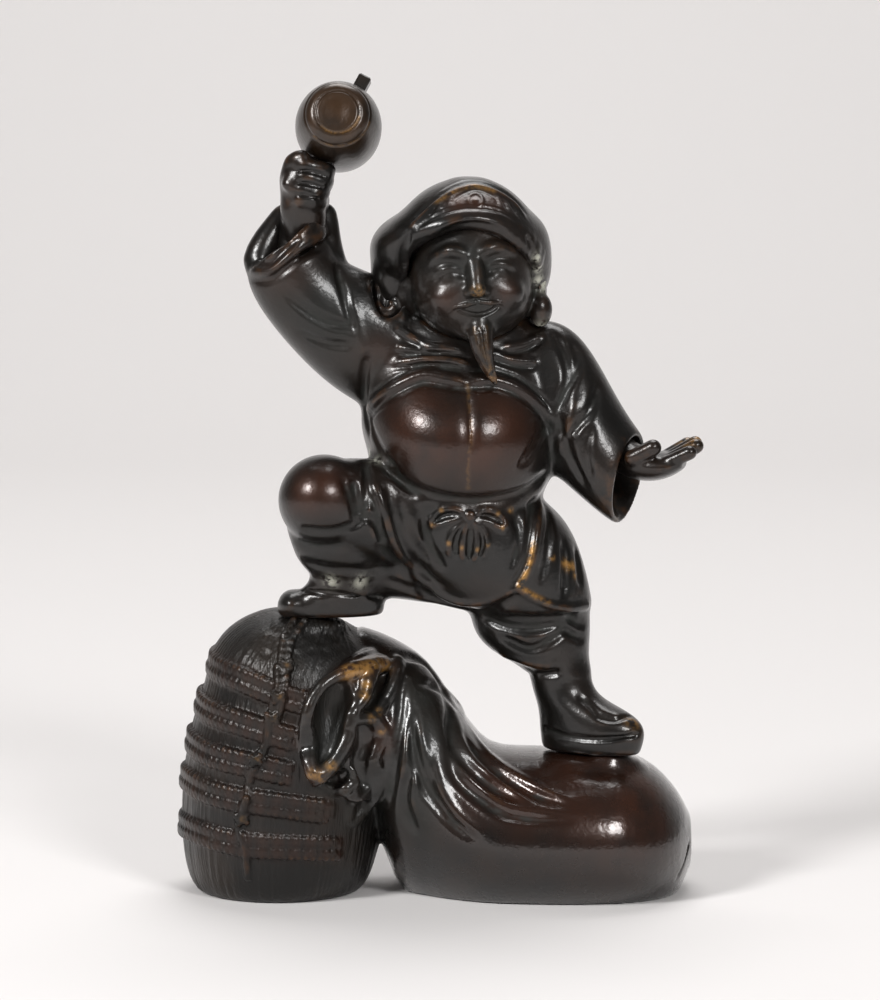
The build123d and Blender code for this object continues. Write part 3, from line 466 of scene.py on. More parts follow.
def press_right_sleeve(clay):
    """The raised sleeve: the cuff's far side rises behind the wrist, and folds run to the armpit."""
    clay.tube([(-58, 0.5, 202.5), (-55, 2, 209), (-50, 4.5, 217)], 4.4, 2.6, blend=2.5)
    clay.tube([(-50, 5, 216.5), (-43, 6.5, 219), (-36.5, 4, 217.5)], 2.8, 2.6, blend=2.5)
    clay.tube([(-36, 3.5, 217), (-35.6, 1.5, 208), (-34.5, 0, 200)], 2.6, 4.0, blend=2.5)
    lip = [(-60, 199.6), (-54.2, 199.4), (-49, 203.4), (-44, 207.6), (-38.5, 210), (-35.5, 213)]
    under = [(-60.6, 196.6), (-54.5, 196.6), (-49.2, 200.2), (-43.5, 204.4), (-37.5, 207), (-34, 210)]
    for ridge, height in (
        (lip, 1.2),
        (under, -1.0),
        ([(-58.6, 201.4), (-54, 202), (-49, 206.4), (-45, 209.6)], -1.4),
        ([(-33, 201), (-31, 195), (-29, 187), (-27, 179.5)], -1.5),
        ([(-50.5, 193.5), (-43, 187), (-35.5, 183), (-27, 181.5)], -1.5),
        ([(-29, 191.5), (-27, 184), (-23.5, 172)], 1.2),
        ([(-45, 180), (-36.5, 176.5), (-28, 175.5)], -1.2),
        ([(-23, 173), (-24.5, 164), (-24, 156)], -1.6),
    ):
        clay.crease(ridge, 1.5, height)


def press_left_sleeve(clay):
    """The hanging sleeve."""
    for ridge, height in (
        ([(35, 180.5), (39.5, 173.5), (41, 164.5), (37, 154)], -1.7),
        ([(42, 176.5), (44, 171), (42, 162.5)], -1.2),
        ([(50.5, 163), (48, 155), (41, 146.5)], -1.4),
        ([(43.5, 158), (41, 149.5), (38, 141)], 1.1),
        ([(38, 153), (41, 142), (47, 130)], -1.3),
        ([(48, 150), (46.5, 141), (48.5, 132)], -1.0),
    ):
        clay.crease(ridge, 1.6, height)


def press_back(clay):
    """Robe folds, skirt pleats and the back of the trousers."""
    for ridge, height in (
        ([(7, 182), (6.5, 165), (7, 148), (7.5, 133)], -1.0),
        ([(-16, 178), (-12, 160), (-6, 140)], -1.4),
        ([(28, 178), (26, 160), (20, 140)], -1.4),
        ([(-20, 160), (-17, 146), (-10, 132)], 1.2),
        ([(32, 158), (30, 146), (23, 132)], 1.2),
        ([(-17, 128.5), (0, 126), (16, 126), (32, 129)], 1.5),
        ([(-17, 124.5), (0, 122), (16, 122), (33, 125)], -1.4),
        ([(-8, 120), (-5, 108), (2, 98)], -1.5),
        ([(2, 120), (6, 106), (10, 95)], -1.5),
        ([(14, 120), (19, 106), (22, 93.5)], -1.5),
        ([(26, 120), (31, 106), (34, 93)], -1.5),
        ([(-45, 128), (-34, 124), (-24, 118)], -1.6),
        ([(-48, 116), (-38, 113), (-26, 111)], -1.5),
        ([(18, 84), (28, 80), (42, 84)], -1.5),
        ([(20, 74.5), (30, 72), (44, 74.5)], -1.6),
        ([(-44, 195), (-36, 186), (-24, 178)], -1.5),
        ([(-36, 200), (-30, 188), (-22, 172)], -1.4),
        ([(48, 160), (42, 150), (38, 142)], -1.4),
        ([(38, 178), (44, 166), (50, 150)], -1.3),
    ):
        clay.crease(ridge, 1.7, height, back=True)


def colour_figure(clay):
    """The wax has worn brown on the belly, knee and shoulders, and is dull on the raised sleeve."""
    clay.stain("warm", [(-9, 152), (-3, 146), (20, 150), (14, 144)], 12.0, 1.0)
    clay.stain("warm", [(-43, 129), (-36, 131)], 8.0, 0.9)
    clay.stain("warm", [(-21, 172), (-50, 197)], 7.0, 0.6)
    clay.stain("dull", [(-48, 191), (-38, 184), (-30, 178), (-25, 170)], 9.0, 0.5)
    clay.stain("pale", [(-21, 138.5), (-22.5, 141)], 1.8, 0.7)
    clay.stain("pale", [(-35, 100), (-25.5, 99.5)], 2.2, 0.8)


def sculpt_figure():
    """The clothed figure without head and hands, as one clay, so that no seam shows."""
    clay = Clay(
        [
            "robe_body",
            "robe_skirt",
            "right_sleeve",
            "left_sleeve",
            "right_leg",
            "left_leg",
            "right_boot",
            "left_boot",
        ],
        cell=0.45,
        blend=2.4,
        soften=0.9,
    )
    clay.ball((6.8, -2, 145), (24, 22, 16))
    clay.ball((9, -1, 124), (15, 14, 10))
    clay.swell((-24, 0, 150), 8.0, 2.0)
    press_belly(clay)
    press_collar(clay)
    press_sash(clay)
    press_skirt(clay)
    press_right_leg(clay)
    press_left_leg(clay)
    press_right_sleeve(clay)
    press_left_sleeve(clay)
    press_back(clay)
    colour_figure(clay)
    return clay.pieces()


# Head
HEAD_CENTRE = np.array([9.8, -7.0, 200.0])
HEAD_RADII = (19.5, 19.5, 22.5)
FACE_TURN = math.radians(4)
FACE_ROLL = math.radians(5)
FACE_OUT = np.array([math.sin(FACE_TURN), -math.cos(FACE_TURN), 0.0])
FACE_UP = np.array([-math.sin(FACE_ROLL), 0.0, math.cos(FACE_ROLL)])
FACE_SIDE = np.cross(FACE_UP, FACE_OUT)
FACE_CLEAR = 34.0  # out from the head's middle to a place in front of the nose
FACE_REACH = 40.0  # from there to behind the face


def on_face(across, up, out):
    """A point of the head from face measures: to the viewer's right, up and out from the head's middle."""
    return HEAD_CENTRE + across * FACE_SIDE + up * FACE_UP + out * FACE_OUT


def face_line(clay, points, width, depth, fade=0.2, side=1):
    """A line pressed into the face along points across and up, on the given side."""
    starts = np.array([on_face(side * u, v, FACE_CLEAR) for u, v in points])
    path = clay.cast(starts, np.tile(-FACE_OUT, (len(starts), 1)), FACE_REACH)
    clay.fold(path, width, depth, fade)


def shape_face(clay):
    """Brows, cheeks, nose, closed lids and a calm smile of a general kind, on even proportions."""
    for side in (-1, 1):
        brow = ((3.4, 6.9, 18), (7.4, 8, 16.9), (12.6, 5.6, 13.4))
        clay.tube([on_face(side * u, v, w) for u, v, w in brow], 1.5, 0.9, 2.0)
        clay.ball(on_face(side * 7.6, 2.2, 19.8), (4.8, 3.4, 3), blend=3.0, cut=True)
        clay.ball(on_face(side * 7.6, 1.6, 14.9), (4.6, 3, 2.9), blend=1.2)
        clay.ball(on_face(side * 9.2, -6.8, 13.8), (5.4, 4.4, 4.2), blend=2.8)
    clay.tube([on_face(0, 4.6, 17.8), on_face(0, 0.5, 19.4), on_face(0, -3.6, 20.9)], 1.5, 2.1, 2.0)
    clay.ball(on_face(0, -4.6, 20.9), (2.7, 2.7, 2.3), blend=1.2)
    clay.ball(on_face(0, -11.5, 14.4), (6.6, 4.2, 5.2), blend=2.6)
    clay.ball(on_face(0, -18, 12.6), (5.6, 4.4, 4.2), blend=2.6)
    for side in (-1, 1):
        clay.ball(on_face(side * 2.9, -5.4, 19.2), (1.9, 1.9, 1.7), blend=0.8)
        clay.ball(on_face(side * 1.5, -7.2, 20.3), (0.8, 0.9, 0.7), blend=0.5, cut=True)
        face_line(clay, ((3.8, 2.6), (6.4, 4.2), (9.2, 4), (12.2, 2)), 0.8, -0.3, side=side)
        face_line(clay, ((4, -5), (6.4, -8.4), (7.8, -12)), 0.9, -0.7, side=side)
        for k in range(9):
            hair = ((3.6 + k, 7.0 + 0.1 * k), (4.8 + k, 8.6 - 0.2 * k))
            face_line(clay, hair, 0.35, -0.25, side=side)
    face_line(clay, ((-3.8, -13.4), (0, -14), (3.8, -13.4)), 0.9, 0.5)
    face_line(clay, ((-3, -15.6), (0, -15.9), (3, -15.6)), 0.9, -0.5)

    # Lids and mouth are cut after the face is softened
    clay.d = blur(clay.d, 0.4 / clay.cell)
    for side in (-1, 1):
        upper_lid = ((3.4, -0.4), (5.4, 1.1), (7.8, 1.6), (10.2, 1), (12.2, -0.6))
        face_line(clay, upper_lid, 0.65, -0.8, 0.1, side)
        face_line(clay, ((4.4, -1.6), (7.8, -0.7), (11.2, -1.6)), 0.7, 0.35, 0.2, side)
    clay.d = blur(clay.d, 0.25 / clay.cell)
    mouth = ((-6.8, -9.9), (-3.8, -11.6), (0, -12.4), (3.8, -11.6), (6.8, -9.9))
    face_line(clay, mouth, 0.6, -1.1, 0.12)


def add_beard(clay):
    """A thin goatee with strands worn to gold, and a moustache."""
    beard = ((0, -16.5, 16), (0.2, -22, 17.8), (1.2, -28, 17.4), (3.4, -34.5, 15.8))
    narrow = [1 - n / 3.5 for n in range(len(beard))]
    clay.tube([on_face(*p) for p in beard], 4.0, 0.8, 1.4)
    for k in range(-4, 5):
        out = [3.7 * s + 0.6 - 0.22 * k * k * s for s in narrow]
        strand = [on_face(u + 0.85 * k * s, v, w + o) for (u, v, w), s, o in zip(beard, narrow, out)]
        clay.fold(strand, 0.42, -0.6 if k % 2 else 0.35, 0.1)
        if k % 2 == 0:
            clay.tint("gold", curve(strand, 0.7), 0.5, 0.3)
    whisker = ((0.9, -8.4, 19.4), (3.8, -9, 19), (7, -9.4, 17.8), (10, -11.4, 15.4))
    for side in (-1, 1):
        clay.tube([on_face(side * u, v, w) for u, v, w in whisker], 0.8, 0.35, 0.5)


def add_ear(clay, middle, lobe, wide):
    """An ear with a long lobe, its middle, lobe and half width given."""
    middle = np.array(middle)
    clay.tube([HEAD_CENTRE + (0, 4, -4), (middle[0] * 0.7 + 3.0, 2.0, 193.0)], 13.0, 9.0, 4.0)
    clay.ball(middle, (wide * 0.85, 3.6, 8.0), blend=1.5)
    clay.ball(lobe, (wide, 4.4, 5.4), blend=1.5)
    clay.ball(middle + (0, -4.4, 1), (wide * 0.45, 2.2, 4.6), blend=1.0, cut=True)
    rim = [middle + (share * wide, -4.0, up) for share, up in ((0.3, -3), (0.1, 0), (0.25, 4))]
    clay.fold(rim, 0.9, 0.6)


def sculpt_head():
    """An old smiling head built up from round forms."""
    clay = Clay(["head"], cell=0.3, margin=9.0)
    clay.d[:] = BAND
    clay.ball(HEAD_CENTRE, HEAD_RADII, blend=0)
    clay.ball(on_face(0, -9, 3), (17, 15, 12), blend=4.0)
    shape_face(clay)
    add_beard(clay)
    add_ear(clay, (-17, -3, 192), (-17.2, -4.6, 186.8), 5.2)
    add_ear(clay, (30.6, -4, 197), (31.8, -6, 187.6), 3.8)
    clay.tint("pale", [(32.5, -6.5, 199), (33, -6, 195.5), (32, -8, 181.8)], 2.4, 1.0)
    clay.tint("dull", [on_face(0, -2, 19)], 15.0, 0.5)
    clay.tint("gold", [on_face(0, -5, 23)], 1.7, 0.7)
    clay.tint("warm", [on_face(side * 9.0, -6.0, 18.5) for side in (-1, 1)], 4.5, 0.9)
    return clay.pieces()


# Cap
def sculpt_cap():
    """A soft cap with a rolled hem, a peaked band with a ring, and sides that hang behind the ears."""
    clay = Clay(["cap"], cell=0.4, soften=1.4, margin=10.0)
    clay.ball((8.6, -4, 213.2), (18, 19, 15.6), blend=4.0)
    clay.ball((-15, 1.5, 199.5), (7, 10.5, 13), blend=4.0)
    clay.ball((29.5, 1, 202), (6, 11, 12), blend=4.0)
    clay.ball((7, 6, 199), (23, 13, 15), blend=4.0)
    clay.ball((9, -37, 202), (38, 23, 12), blend=5.0, cut=True)
    clay.ball((10.4, -31, 201.2), (17.4, 20, 16.2), blend=1.5, cut=True)
    # The rolled edge lies on the brow
    hem = []
    hem_end, hem_top, hem_fall, hem_radius = math.radians(78), 16.4, 11.7, 1.7
    for turn in np.linspace(-hem_end, hem_end, 21):
        up = hem_top - hem_fall * (turn / hem_end) ** 2
        reach = HEAD_RADII[0] * math.sqrt(1 - (up / HEAD_RADII[2]) ** 2) + hem_radius
        across = reach * math.sin(turn)
        hem.append(HEAD_CENTRE + (across, -reach * math.cos(turn), up - 0.08 * across))
    clay.tube(hem, hem_radius, hem_radius, blend=2.0)
    clay.tube(np.array(hem) + (0, 1, 2.4), 1.5, 1.5, blend=2.4)
    brim = [(-7.7, 210), (-1.8, 214), (4.6, 216.4), (11.4, 217), (19.3, 215.6), (24.2, 212.6)]
    clay.crease(brim, 0.9, -0.7, fade=0.2, shift=(0, 2.6))
    band = [(-9.5, 213), (-7.2, 215.6), (-0.8, 221.5), (5.1, 225)]
    band += [(11.2, 226.4), (16.8, 225), (23.2, 221), (27, 216.5)]
    clay.crease(band, 1.3, -1.0, fade=0.12, shift=(0, 1.4))
    clay.crease(band, 0.9, 1.1, fade=0.12)
    clay.stain("gold", curve(band[2:6], 1.0), 0.9, 0.35)
    ring_x, ring_z, ring_radius = 11.2, 221.7, 2.3
    turns = np.linspace(0, 2 * math.pi, 13)
    ring = [(ring_x + ring_radius * math.cos(a), ring_z + ring_radius * math.sin(a)) for a in turns]
    clay.crease(ring, 0.5, 0.5, fade=0)
    clay.swell(clay.seen([(ring_x, ring_z)])[0], 1.0, 0.4)
    for pleat in (
        [(4.4, 219.6), (5, 222.4), (11.4, 225.2), (17.4, 222.8), (18.2, 219.4)],
        [(19.6, 222.4), (21.4, 218.8)],
        [(22.2, 220.8), (24.4, 217.6)],
        [(2.4, 222.2), (0.4, 218.8)],
        [(-1.2, 219.8), (-3.6, 216.8)],
    ):
        clay.crease(pleat, 0.7, -0.45, fade=0.3)
    clay.stain("warm", [(ring_x, ring_z), (16.5, 221.5), (6, 221.5)], 4.0, 0.9)
    clay.stain("pale", [(31.2, 203.5), (31.4, 200), (31.4, 196.5)], 1.7, 1.0)
    for groove in (
        [(-9, 212.5), (-11.5, 206), (-11.5, 199)],
        [(27.5, 211), (29.5, 205), (29.5, 199)],
    ):
        clay.crease(groove, 1.2, -0.8)
    for groove in (
        [(7, 224), (6, 212), (7, 198)],
        [(-4, 221), (-8, 211), (-9, 198)],
        [(18, 221), (22, 211), (23, 198)],
        [(-18, 209), (7, 205), (32, 209)],
    ):
        clay.crease(groove, 1.4, -1.0, back=True)
    return clay.pieces()


# Hands
MALLET_CENTRE = np.array([-32.2, 2.0, 245.0])
MALLET_AXIS = np.array([0.0, -0.948, 0.317])
MALLET_HALF = 17.0
HANDLE_AXIS = np.array([0.4648, 0.2809, 0.8397])
HANDLE_REACH = 29.5  # from the barrel's centre to just below the butt
HANDLE_ROOM = (2.95, 2.35)  # half sizes of the hole in the fist
BARREL_ROOM = 14.3  # radius of the space kept round the barrel


def sculpt_hands():
    """A fist round the mallet's handle and an open palm."""
    clay = Clay(["right_hand"], cell=0.3, soften=0.9)
    clay.ball((-43.6, -2.5, 228), (6.4, 6.8, 8.6), blend=3.0)
    clay.ball((-30.4, -4, 221), (5.6, 9, 5.4), blend=1.5, cut=True)
    clay.ball((-43.2, 0, 219), (6.6, 5.6, 7), blend=3.0)
    clay.tube([(-43.4, -3.8, 223), (-43.4, -3.4, 218), (-42.4, 0, 210)], 6.6, 5.8, blend=2.0)
    for k in range(4):
        top = 234.0 - 3.7 * k
        knuckles = [
            (-46.0 + 0.2 * k, -7.6, top),
            (-42.5 - 0.4 * k, -10.2, top - 0.4),
            (-38.0 - 0.8 * k, -9.4, top - 1.4),
            (-34.6 - 1.0 * k, -6.2, top - 2.2),
        ]
        clay.tube(knuckles, 2.4, 2.0, blend=1.1)
    clay.tube([(-48, -4, 229), (-46.4, -7.6, 234.6), (-43, -9.6, 236.4)], 2.5, 2.0, blend=1.4)
    clay.d = blur(clay.d, 0.55 / clay.cell)
    for groove in (
        [(-45.5, 231.2), (-41, 231), (-36, 229.4)],
        [(-45.5, 227.4), (-41.2, 227), (-36.6, 225.6)],
        [(-45.2, 223.8), (-41.5, 223.2), (-37.8, 222.2)],
    ):
        clay.crease(groove, 0.7, -0.6)
    # Room for the handle, and for the barrel above the fist
    half = HANDLE_REACH / 2
    clay.channel(MALLET_CENTRE - half * HANDLE_AXIS, HANDLE_AXIS, MALLET_AXIS, half, *HANDLE_ROOM)
    clay.ball(MALLET_CENTRE, BARREL_ROOM, blend=0.0, cut=True)
    right = clay.pieces()
    clay = Clay(["left_hand"], cell=0.3, soften=0.5)
    clay.swell((66.5, -14.5, 143.5), 3.0, -0.8)
    clay.stain("gold", [(80, 145), (82.5, 146), (78, 145.5)], 2.4, 0.5)
    return {**right, **clay.pieces()}


# Rice bale and treasure sack
BALE_X = -52.0
BALE_HEIGHT = 88.0
BALE_RADIUS = 33.0
BALE_DRIFT = 16.0
STRAW_DEPTH = 0.13
ROPE_RADIUS = 1.6
ROPE_TWIST = 2.3  # from one bead to the next
ROPE_LIFT = 1.9  # each rope of a pair above or below the band's middle
CORD_RADIUS = 1.5
ROPE_BANDS = (  # share of the height, share of the radius, last angle
    (0.22, 0.97, 314),
    (0.37, 1, 302),
    (0.49, 1, 277),
    (0.615, 0.98, 277),
    (0.75, 0.955, 279),
)


def bale_ring(share, radius, angle, lift):
    """A point round the bale's leaning axis, the angle counted from the right over the back."""
    lean = np.array([2 * BALE_DRIFT * share / BALE_HEIGHT, 0.0, 1.0])
    lean /= np.linalg.norm(lean)
    middle = np.array([BALE_X + BALE_DRIFT * share**2, 0.0, BALE_HEIGHT * share])
    back = np.array([0.0, 1.0, 0.0])
    right = np.cross(back, lean)
    return middle + radius * (math.cos(angle) * right + math.sin(angle) * back) + lift * lean


def rope(clay, path, radius):
    """A twisted strand laid along a path, as slanting beads."""
    path = curve(path, 0.5)
    run = np.r_[0, np.cumsum(np.linalg.norm(np.diff(path, axis=0), axis=1))]
    for s in np.arange(0, run[-1], ROPE_TWIST):
        a, b = (np.array([np.interp(t, run, q) for q in path.T]) for t in (s, s + 0.9 * ROPE_TWIST))
        slant = (0, 0, radius * 0.55)
        clay.tube([a + slant, b - slant], 0.9 * radius, 0.9 * radius, blend=0.25)


def lay_straw(clay):
    """Upright straw, only on the bale's own side of the clay."""
    where, (x, y, z) = clay.window((-99, -99, 2), (99, 99, 99))
    share = np.clip(z / BALE_HEIGHT, 0, 1)
    angle = np.arctan2(y, x - BALE_X - BALE_DRIFT * share**2)
    drift = 2.6 * np.sin(7.0 * angle) + 1.7 * np.sin(13.0 * angle + 0.05 * z)
    drift = drift + 0.9 * np.sin(0.16 * z + 5.0 * angle)
    straw = np.sin(angle * 88 + drift) * (0.6 + 0.4 * np.sin(11.0 * angle + 0.09 * z))
    straw = straw + 0.6 * np.sin(angle * 37 - drift)
    bale, sack = (np.full(clay.shape, BAND, np.float32) for _ in range(2))
    for field, node_name in ((bale, "rice_bale"), (sack, "treasure_sack")):
        place, distances = clay.parts[node_name]
        field[place] = distances
    clay.d[where] += STRAW_DEPTH * straw * np.clip((sack - bale)[where] / 2.0, 0, 1)


def lay_ropes(clay):
    """Double ropes round the bale, and an upright cord with knots."""
    for share, width, last in ROPE_BANDS:
        for lift in (-ROPE_LIFT, ROPE_LIFT):
            turn = np.radians(np.arange(60.0, last, 3.0))
            sway = 0.35 * np.sin(5 * turn + 9 * share)
            # The rope goes into the bale over its last nine degrees
            sink = 2.8 * np.clip((turn - turn[-1]) / math.radians(9) + 1, 0, 1) ** 2
            radii = BALE_RADIUS * width - sink
            path = [bale_ring(share, r, a, lift + w) for r, a, w in zip(radii, turn, sway)]
            rope(clay, path, ROPE_RADIUS)
            clay.tint("warm", path[-36::3], 2.4, 0.55)
    for cord in (
        [(-43.5, 86), (-47.5, 80), (-49, 73)],
        [(-47, 86), (-50, 80), (-51, 73)],
        [(-49.5, 71.5), (-49.5, 66), (-51, 60), (-52.5, 55)],
        [(-52, 71), (-52, 65), (-53.5, 60), (-54.5, 55)],
        [(-55, 54), (-56, 47), (-58.5, 42)],
        [(-59, 41.5), (-61.5, 34), (-62, 29)],
        [(-62.5, 28), (-65, 20), (-63, 14), (-62, 4)],
    ):
        rope(clay, clay.seen(cord), CORD_RADIUS)
    for knot in ((-49.5, 72.5), (-52, 62), (-54, 55), (-59.5, 41.5), (-64, 22)):
        spot = clay.seen([knot])[0]
        clay.tube([spot + (-1.6, 0.2, 1.2), spot + (1.6, 0, -0.8)], 1.2, 1.0, blend=0.4)
        clay.tube([spot + (-1.2, 0.2, -1.4), spot + (1.4, 0, 1.4)], 1.1, 1.1, blend=0.4)
        clay.tint("gold", [spot + (0.4, -1.6, 0.4)], 0.8, 0.4)
    # Lumps on the bale's top
    for k in range(26):
        spot = clay.seen([(-56.0 + (k * 7.3) % 26, 76.0 + (k * 4.7) % 8)])
        clay.swell(spot[0], 1.4, 0.5 if k % 2 else -0.5)


def fold_sack(clay):
    """Folds from the sack's neck, deep in front and on the back."""
    for groove in (
        [(2, 46), (5.5, 36), (13.5, 28.5), (23.5, 23.5), (42, 22)],
        [(-4.5, 42), (-2, 31), (3, 22.5), (11, 15.5)],
        [(2, 56), (5.5, 44), (14.5, 34.5), (26, 27.5)],
        [(7, 51), (16, 39.5), (28.5, 31.5), (41, 26.5)],
        [(-10, 38), (-11.5, 28), (-8, 18)],
        [(-8, 66.5), (0.5, 64.5), (3, 58.5), (2, 50.5)],
        [(-10, 60), (-8.5, 46), (-4.5, 33), (3, 22.5)],
        [(-14, 75), (-4.5, 73), (2, 67), (5, 58.5)],
        [(-11.5, 67.5), (-12.5, 54.5), (-14.5, 40), (-16, 25)],
    ):
        clay.crease(groove, 1.9, -1.9, fade=0.25)
        clay.crease(groove, 1.6, 1.1, fade=0.3, shift=(2.8, 1.2))
    clay.crease([(64, 46), (74.5, 37), (80, 26), (80.5, 15), (76.5, 3)], 0.7, -0.7, fade=0.1)
    for groove in (
        [(-8, 70), (-2, 52), (10, 36), (26, 28)],
        [(-12, 66), (-8, 44), (2, 26), (16, 14)],
        [(-14, 58), (-14, 36), (-8, 18)],
        [(2, 62), (12, 44), (30, 36)],
    ):
        clay.crease(groove, 1.9, -1.8, back=True)
    shade = [(-6, 62), (-4, 52), (-6, 42), (-4, 32), (2, 52), (6, 42), (-8, 24)]
    clay.stain("dull", shade, 8.0, 0.65)


def frill_sack(clay):
    """A leaf-shaped lobe, a panel beside it and smaller folds below, with thick soft lips."""
    outer = [(-40.9, 37.2), (-41.8, 41.7), (-41.6, 46), (-42.8, 51.6)]
    outer += [(-42.6, 57), (-41, 61.6), (-38, 65.6)]
    inner = [(-28.2, 56.2), (-28.8, 52.9), (-29.3, 49), (-31.7, 44.3)]
    inner += [(-35, 39.7), (-38.6, 36.4), (-40.9, 37.2)]
    panel = [(-13.4, 74), (-14.7, 68), (-17.3, 62.1), (-20, 57.5), (-22.2, 55.4), (-27.8, 54.6)]
    edge = [(-21.3, 54.9), (-18.8, 51.6), (-19.2, 47), (-21.3, 41.7)]
    edge += [(-19.5, 37.8), (-20.2, 31.2), (-24, 25.9), (-27.8, 21.6)]
    rims = (  # path, first and last radius
        (outer, 1.7, 1.4),
        ([(-38, 65.6), (-34.3, 68.4), (-29.7, 70.4), (-24.5, 71.6), (-18.5, 73)], 1.4, 2.6),
        ([(-22, 70.5), (-23.6, 66.5), (-24.2, 63), (-26.4, 59.5), (-28.2, 56.2)], 2.6, 1.5),
        (inner, 1.5, 2.0),
        (panel, 1.6, 1.3),
        (edge, 1.7, 1.3),
        ([(-37.4, 33.2), (-34.3, 31.4), (-30, 32.2), (-27.6, 34.4), (-28.3, 38)], 1.2, 1.3),
        ([(-27.8, 33), (-28.8, 27.2), (-29.6, 22.2)], 1.3, 1.0),
    )
    paths = [clay.seen(rim) for rim, _, _ in rims]
    for middle, first, last, out in (
        ([(-33, 64), (-34.8, 58), (-35.6, 51), (-36.6, 45), (-38.4, 40.8)], 5.6, 2.2, 1.4),
        ([(-17.2, 71), (-19.8, 65), (-23.2, 59.4)], 3.2, 2.2, 0.6),
        ([(-24, 52), (-23.6, 46.5), (-25.6, 40.5), (-24.2, 34)], 3.2, 2.4, 0.5),
        ([(-35.6, 34.6), (-31.6, 35.6), (-29.8, 37)], 2.0, 1.8, 0.2),
    ):
        path = clay.seen(middle)
        clay.tint("dull", curve(path, 2.0), first, 0.8)
        clay.tube(path + (0, -out, 0), first, last, blend=1.6, cut=True)
    for path, (_, first, last) in zip(paths, rims):
        clay.tube(path + (0, 0.2, 0), first, last, blend=1.8)
        clay.tint("dull", curve(path, 3.0), 2.8, 0.5)
    gilt = paths[1][2:] + (0, -2, 0)
    clay.tint("gold", curve(gilt, 1.5), 2.2, 0.9)
    for spots, radius, strength in (  # rim, point on it and how far in front
        (((2, 1, 2.2), (2, 2, 2)), 1.4, 0.7),
        (((0, 0, 1.6), (3, -2, 1.6), (3, -3, 1.4)), 1.5, 0.8),
        (((4, 3, 1.4), (4, 4, 1.3), (5, 1, 1.6)), 1.1, 0.7),
    ):
        worn = [paths[rim][point] - (0, front, 0) for rim, point, front in spots]
        clay.tint("gold", worn, radius, strength)
    clay.tint("warm", [*gilt, paths[0][0], paths[5][1], paths[5][2]], 4.0, 1.0)
    clay.stain("warm", [(-51, 45), (-48, 52), (-47, 61)], 3.0, 0.4)
    rubbed = [(30, 30), (48, 26), (60, 22), (44, 36), (20, 34)]
    clay.stain("warm", rubbed, 16.0, 0.8)
    clay.stain("warm", [(62, 28), (68, 22), (66, 34)], 9.0, 1.0)


def sculpt_base():
    """A bound straw bale, and a full sack that leans its frilled mouth on it."""
    clay = Clay(["rice_bale", "treasure_sack"], cell=0.55, blend=0.6, soften=0.8)

    # Full shoulders of the bale, and low seats under the boots
    clay.ball((-57, 0, 74), (15, 22, 12.5), blend=6.0)
    clay.ball((-40, -9, 87.6), (9, 8, 2.3), blend=3.0)
    clay.ball((49.5, -9.5, 43.2), (13, 8, 2.6), blend=3.0)
    lay_straw(clay)
    lay_ropes(clay)
    fold_sack(clay)
    frill_sack(clay)
    return clay.pieces()


# Mallet
def sculpt_mallet():
    """The mallet's barrel, with a low dome and two rings on either end."""
    clay = Clay(["mallet_barrel"], cell=0.3, soften=1.0)
    across = np.array([1.0, 0.0, 0.0])
    side = np.cross(MALLET_AXIS, across)
    turns = np.linspace(0, 2 * math.pi, 25)
    for end in (-1, 1):
        clay.swell(MALLET_CENTRE + end * MALLET_HALF * MALLET_AXIS, 5.6, 0.9)
        for radius, along in ((6.9, 17.2), (10.4, 14.7)):
            middle = MALLET_CENTRE + end * along * MALLET_AXIS
            ring = [middle + radius * (math.cos(a) * across + math.sin(a) * side) for a in turns]
            clay.fold(ring, 0.45, -0.5, fade=0)
            clay.tint("gold", curve(ring[15:24], 0.8), 0.5, 0.3)
    clay.tint("warm", [MALLET_CENTRE + MALLET_HALF * MALLET_AXIS], 11.0, 1.0)
    return clay.pieces()


# Patina
RUBBED_BROWN = (0.045, 0.0145, 0.0062)
MALLET_BROWN = (0.050, 0.023, 0.008)
EDGE_BROWN = (0.085, 0.036, 0.012)
DULL_GREEN = (0.0125, 0.0135, 0.0112)
WORN_GOLD = (0.46, 0.235, 0.055)
PALE_CRUST = (0.52, 0.52, 0.44)


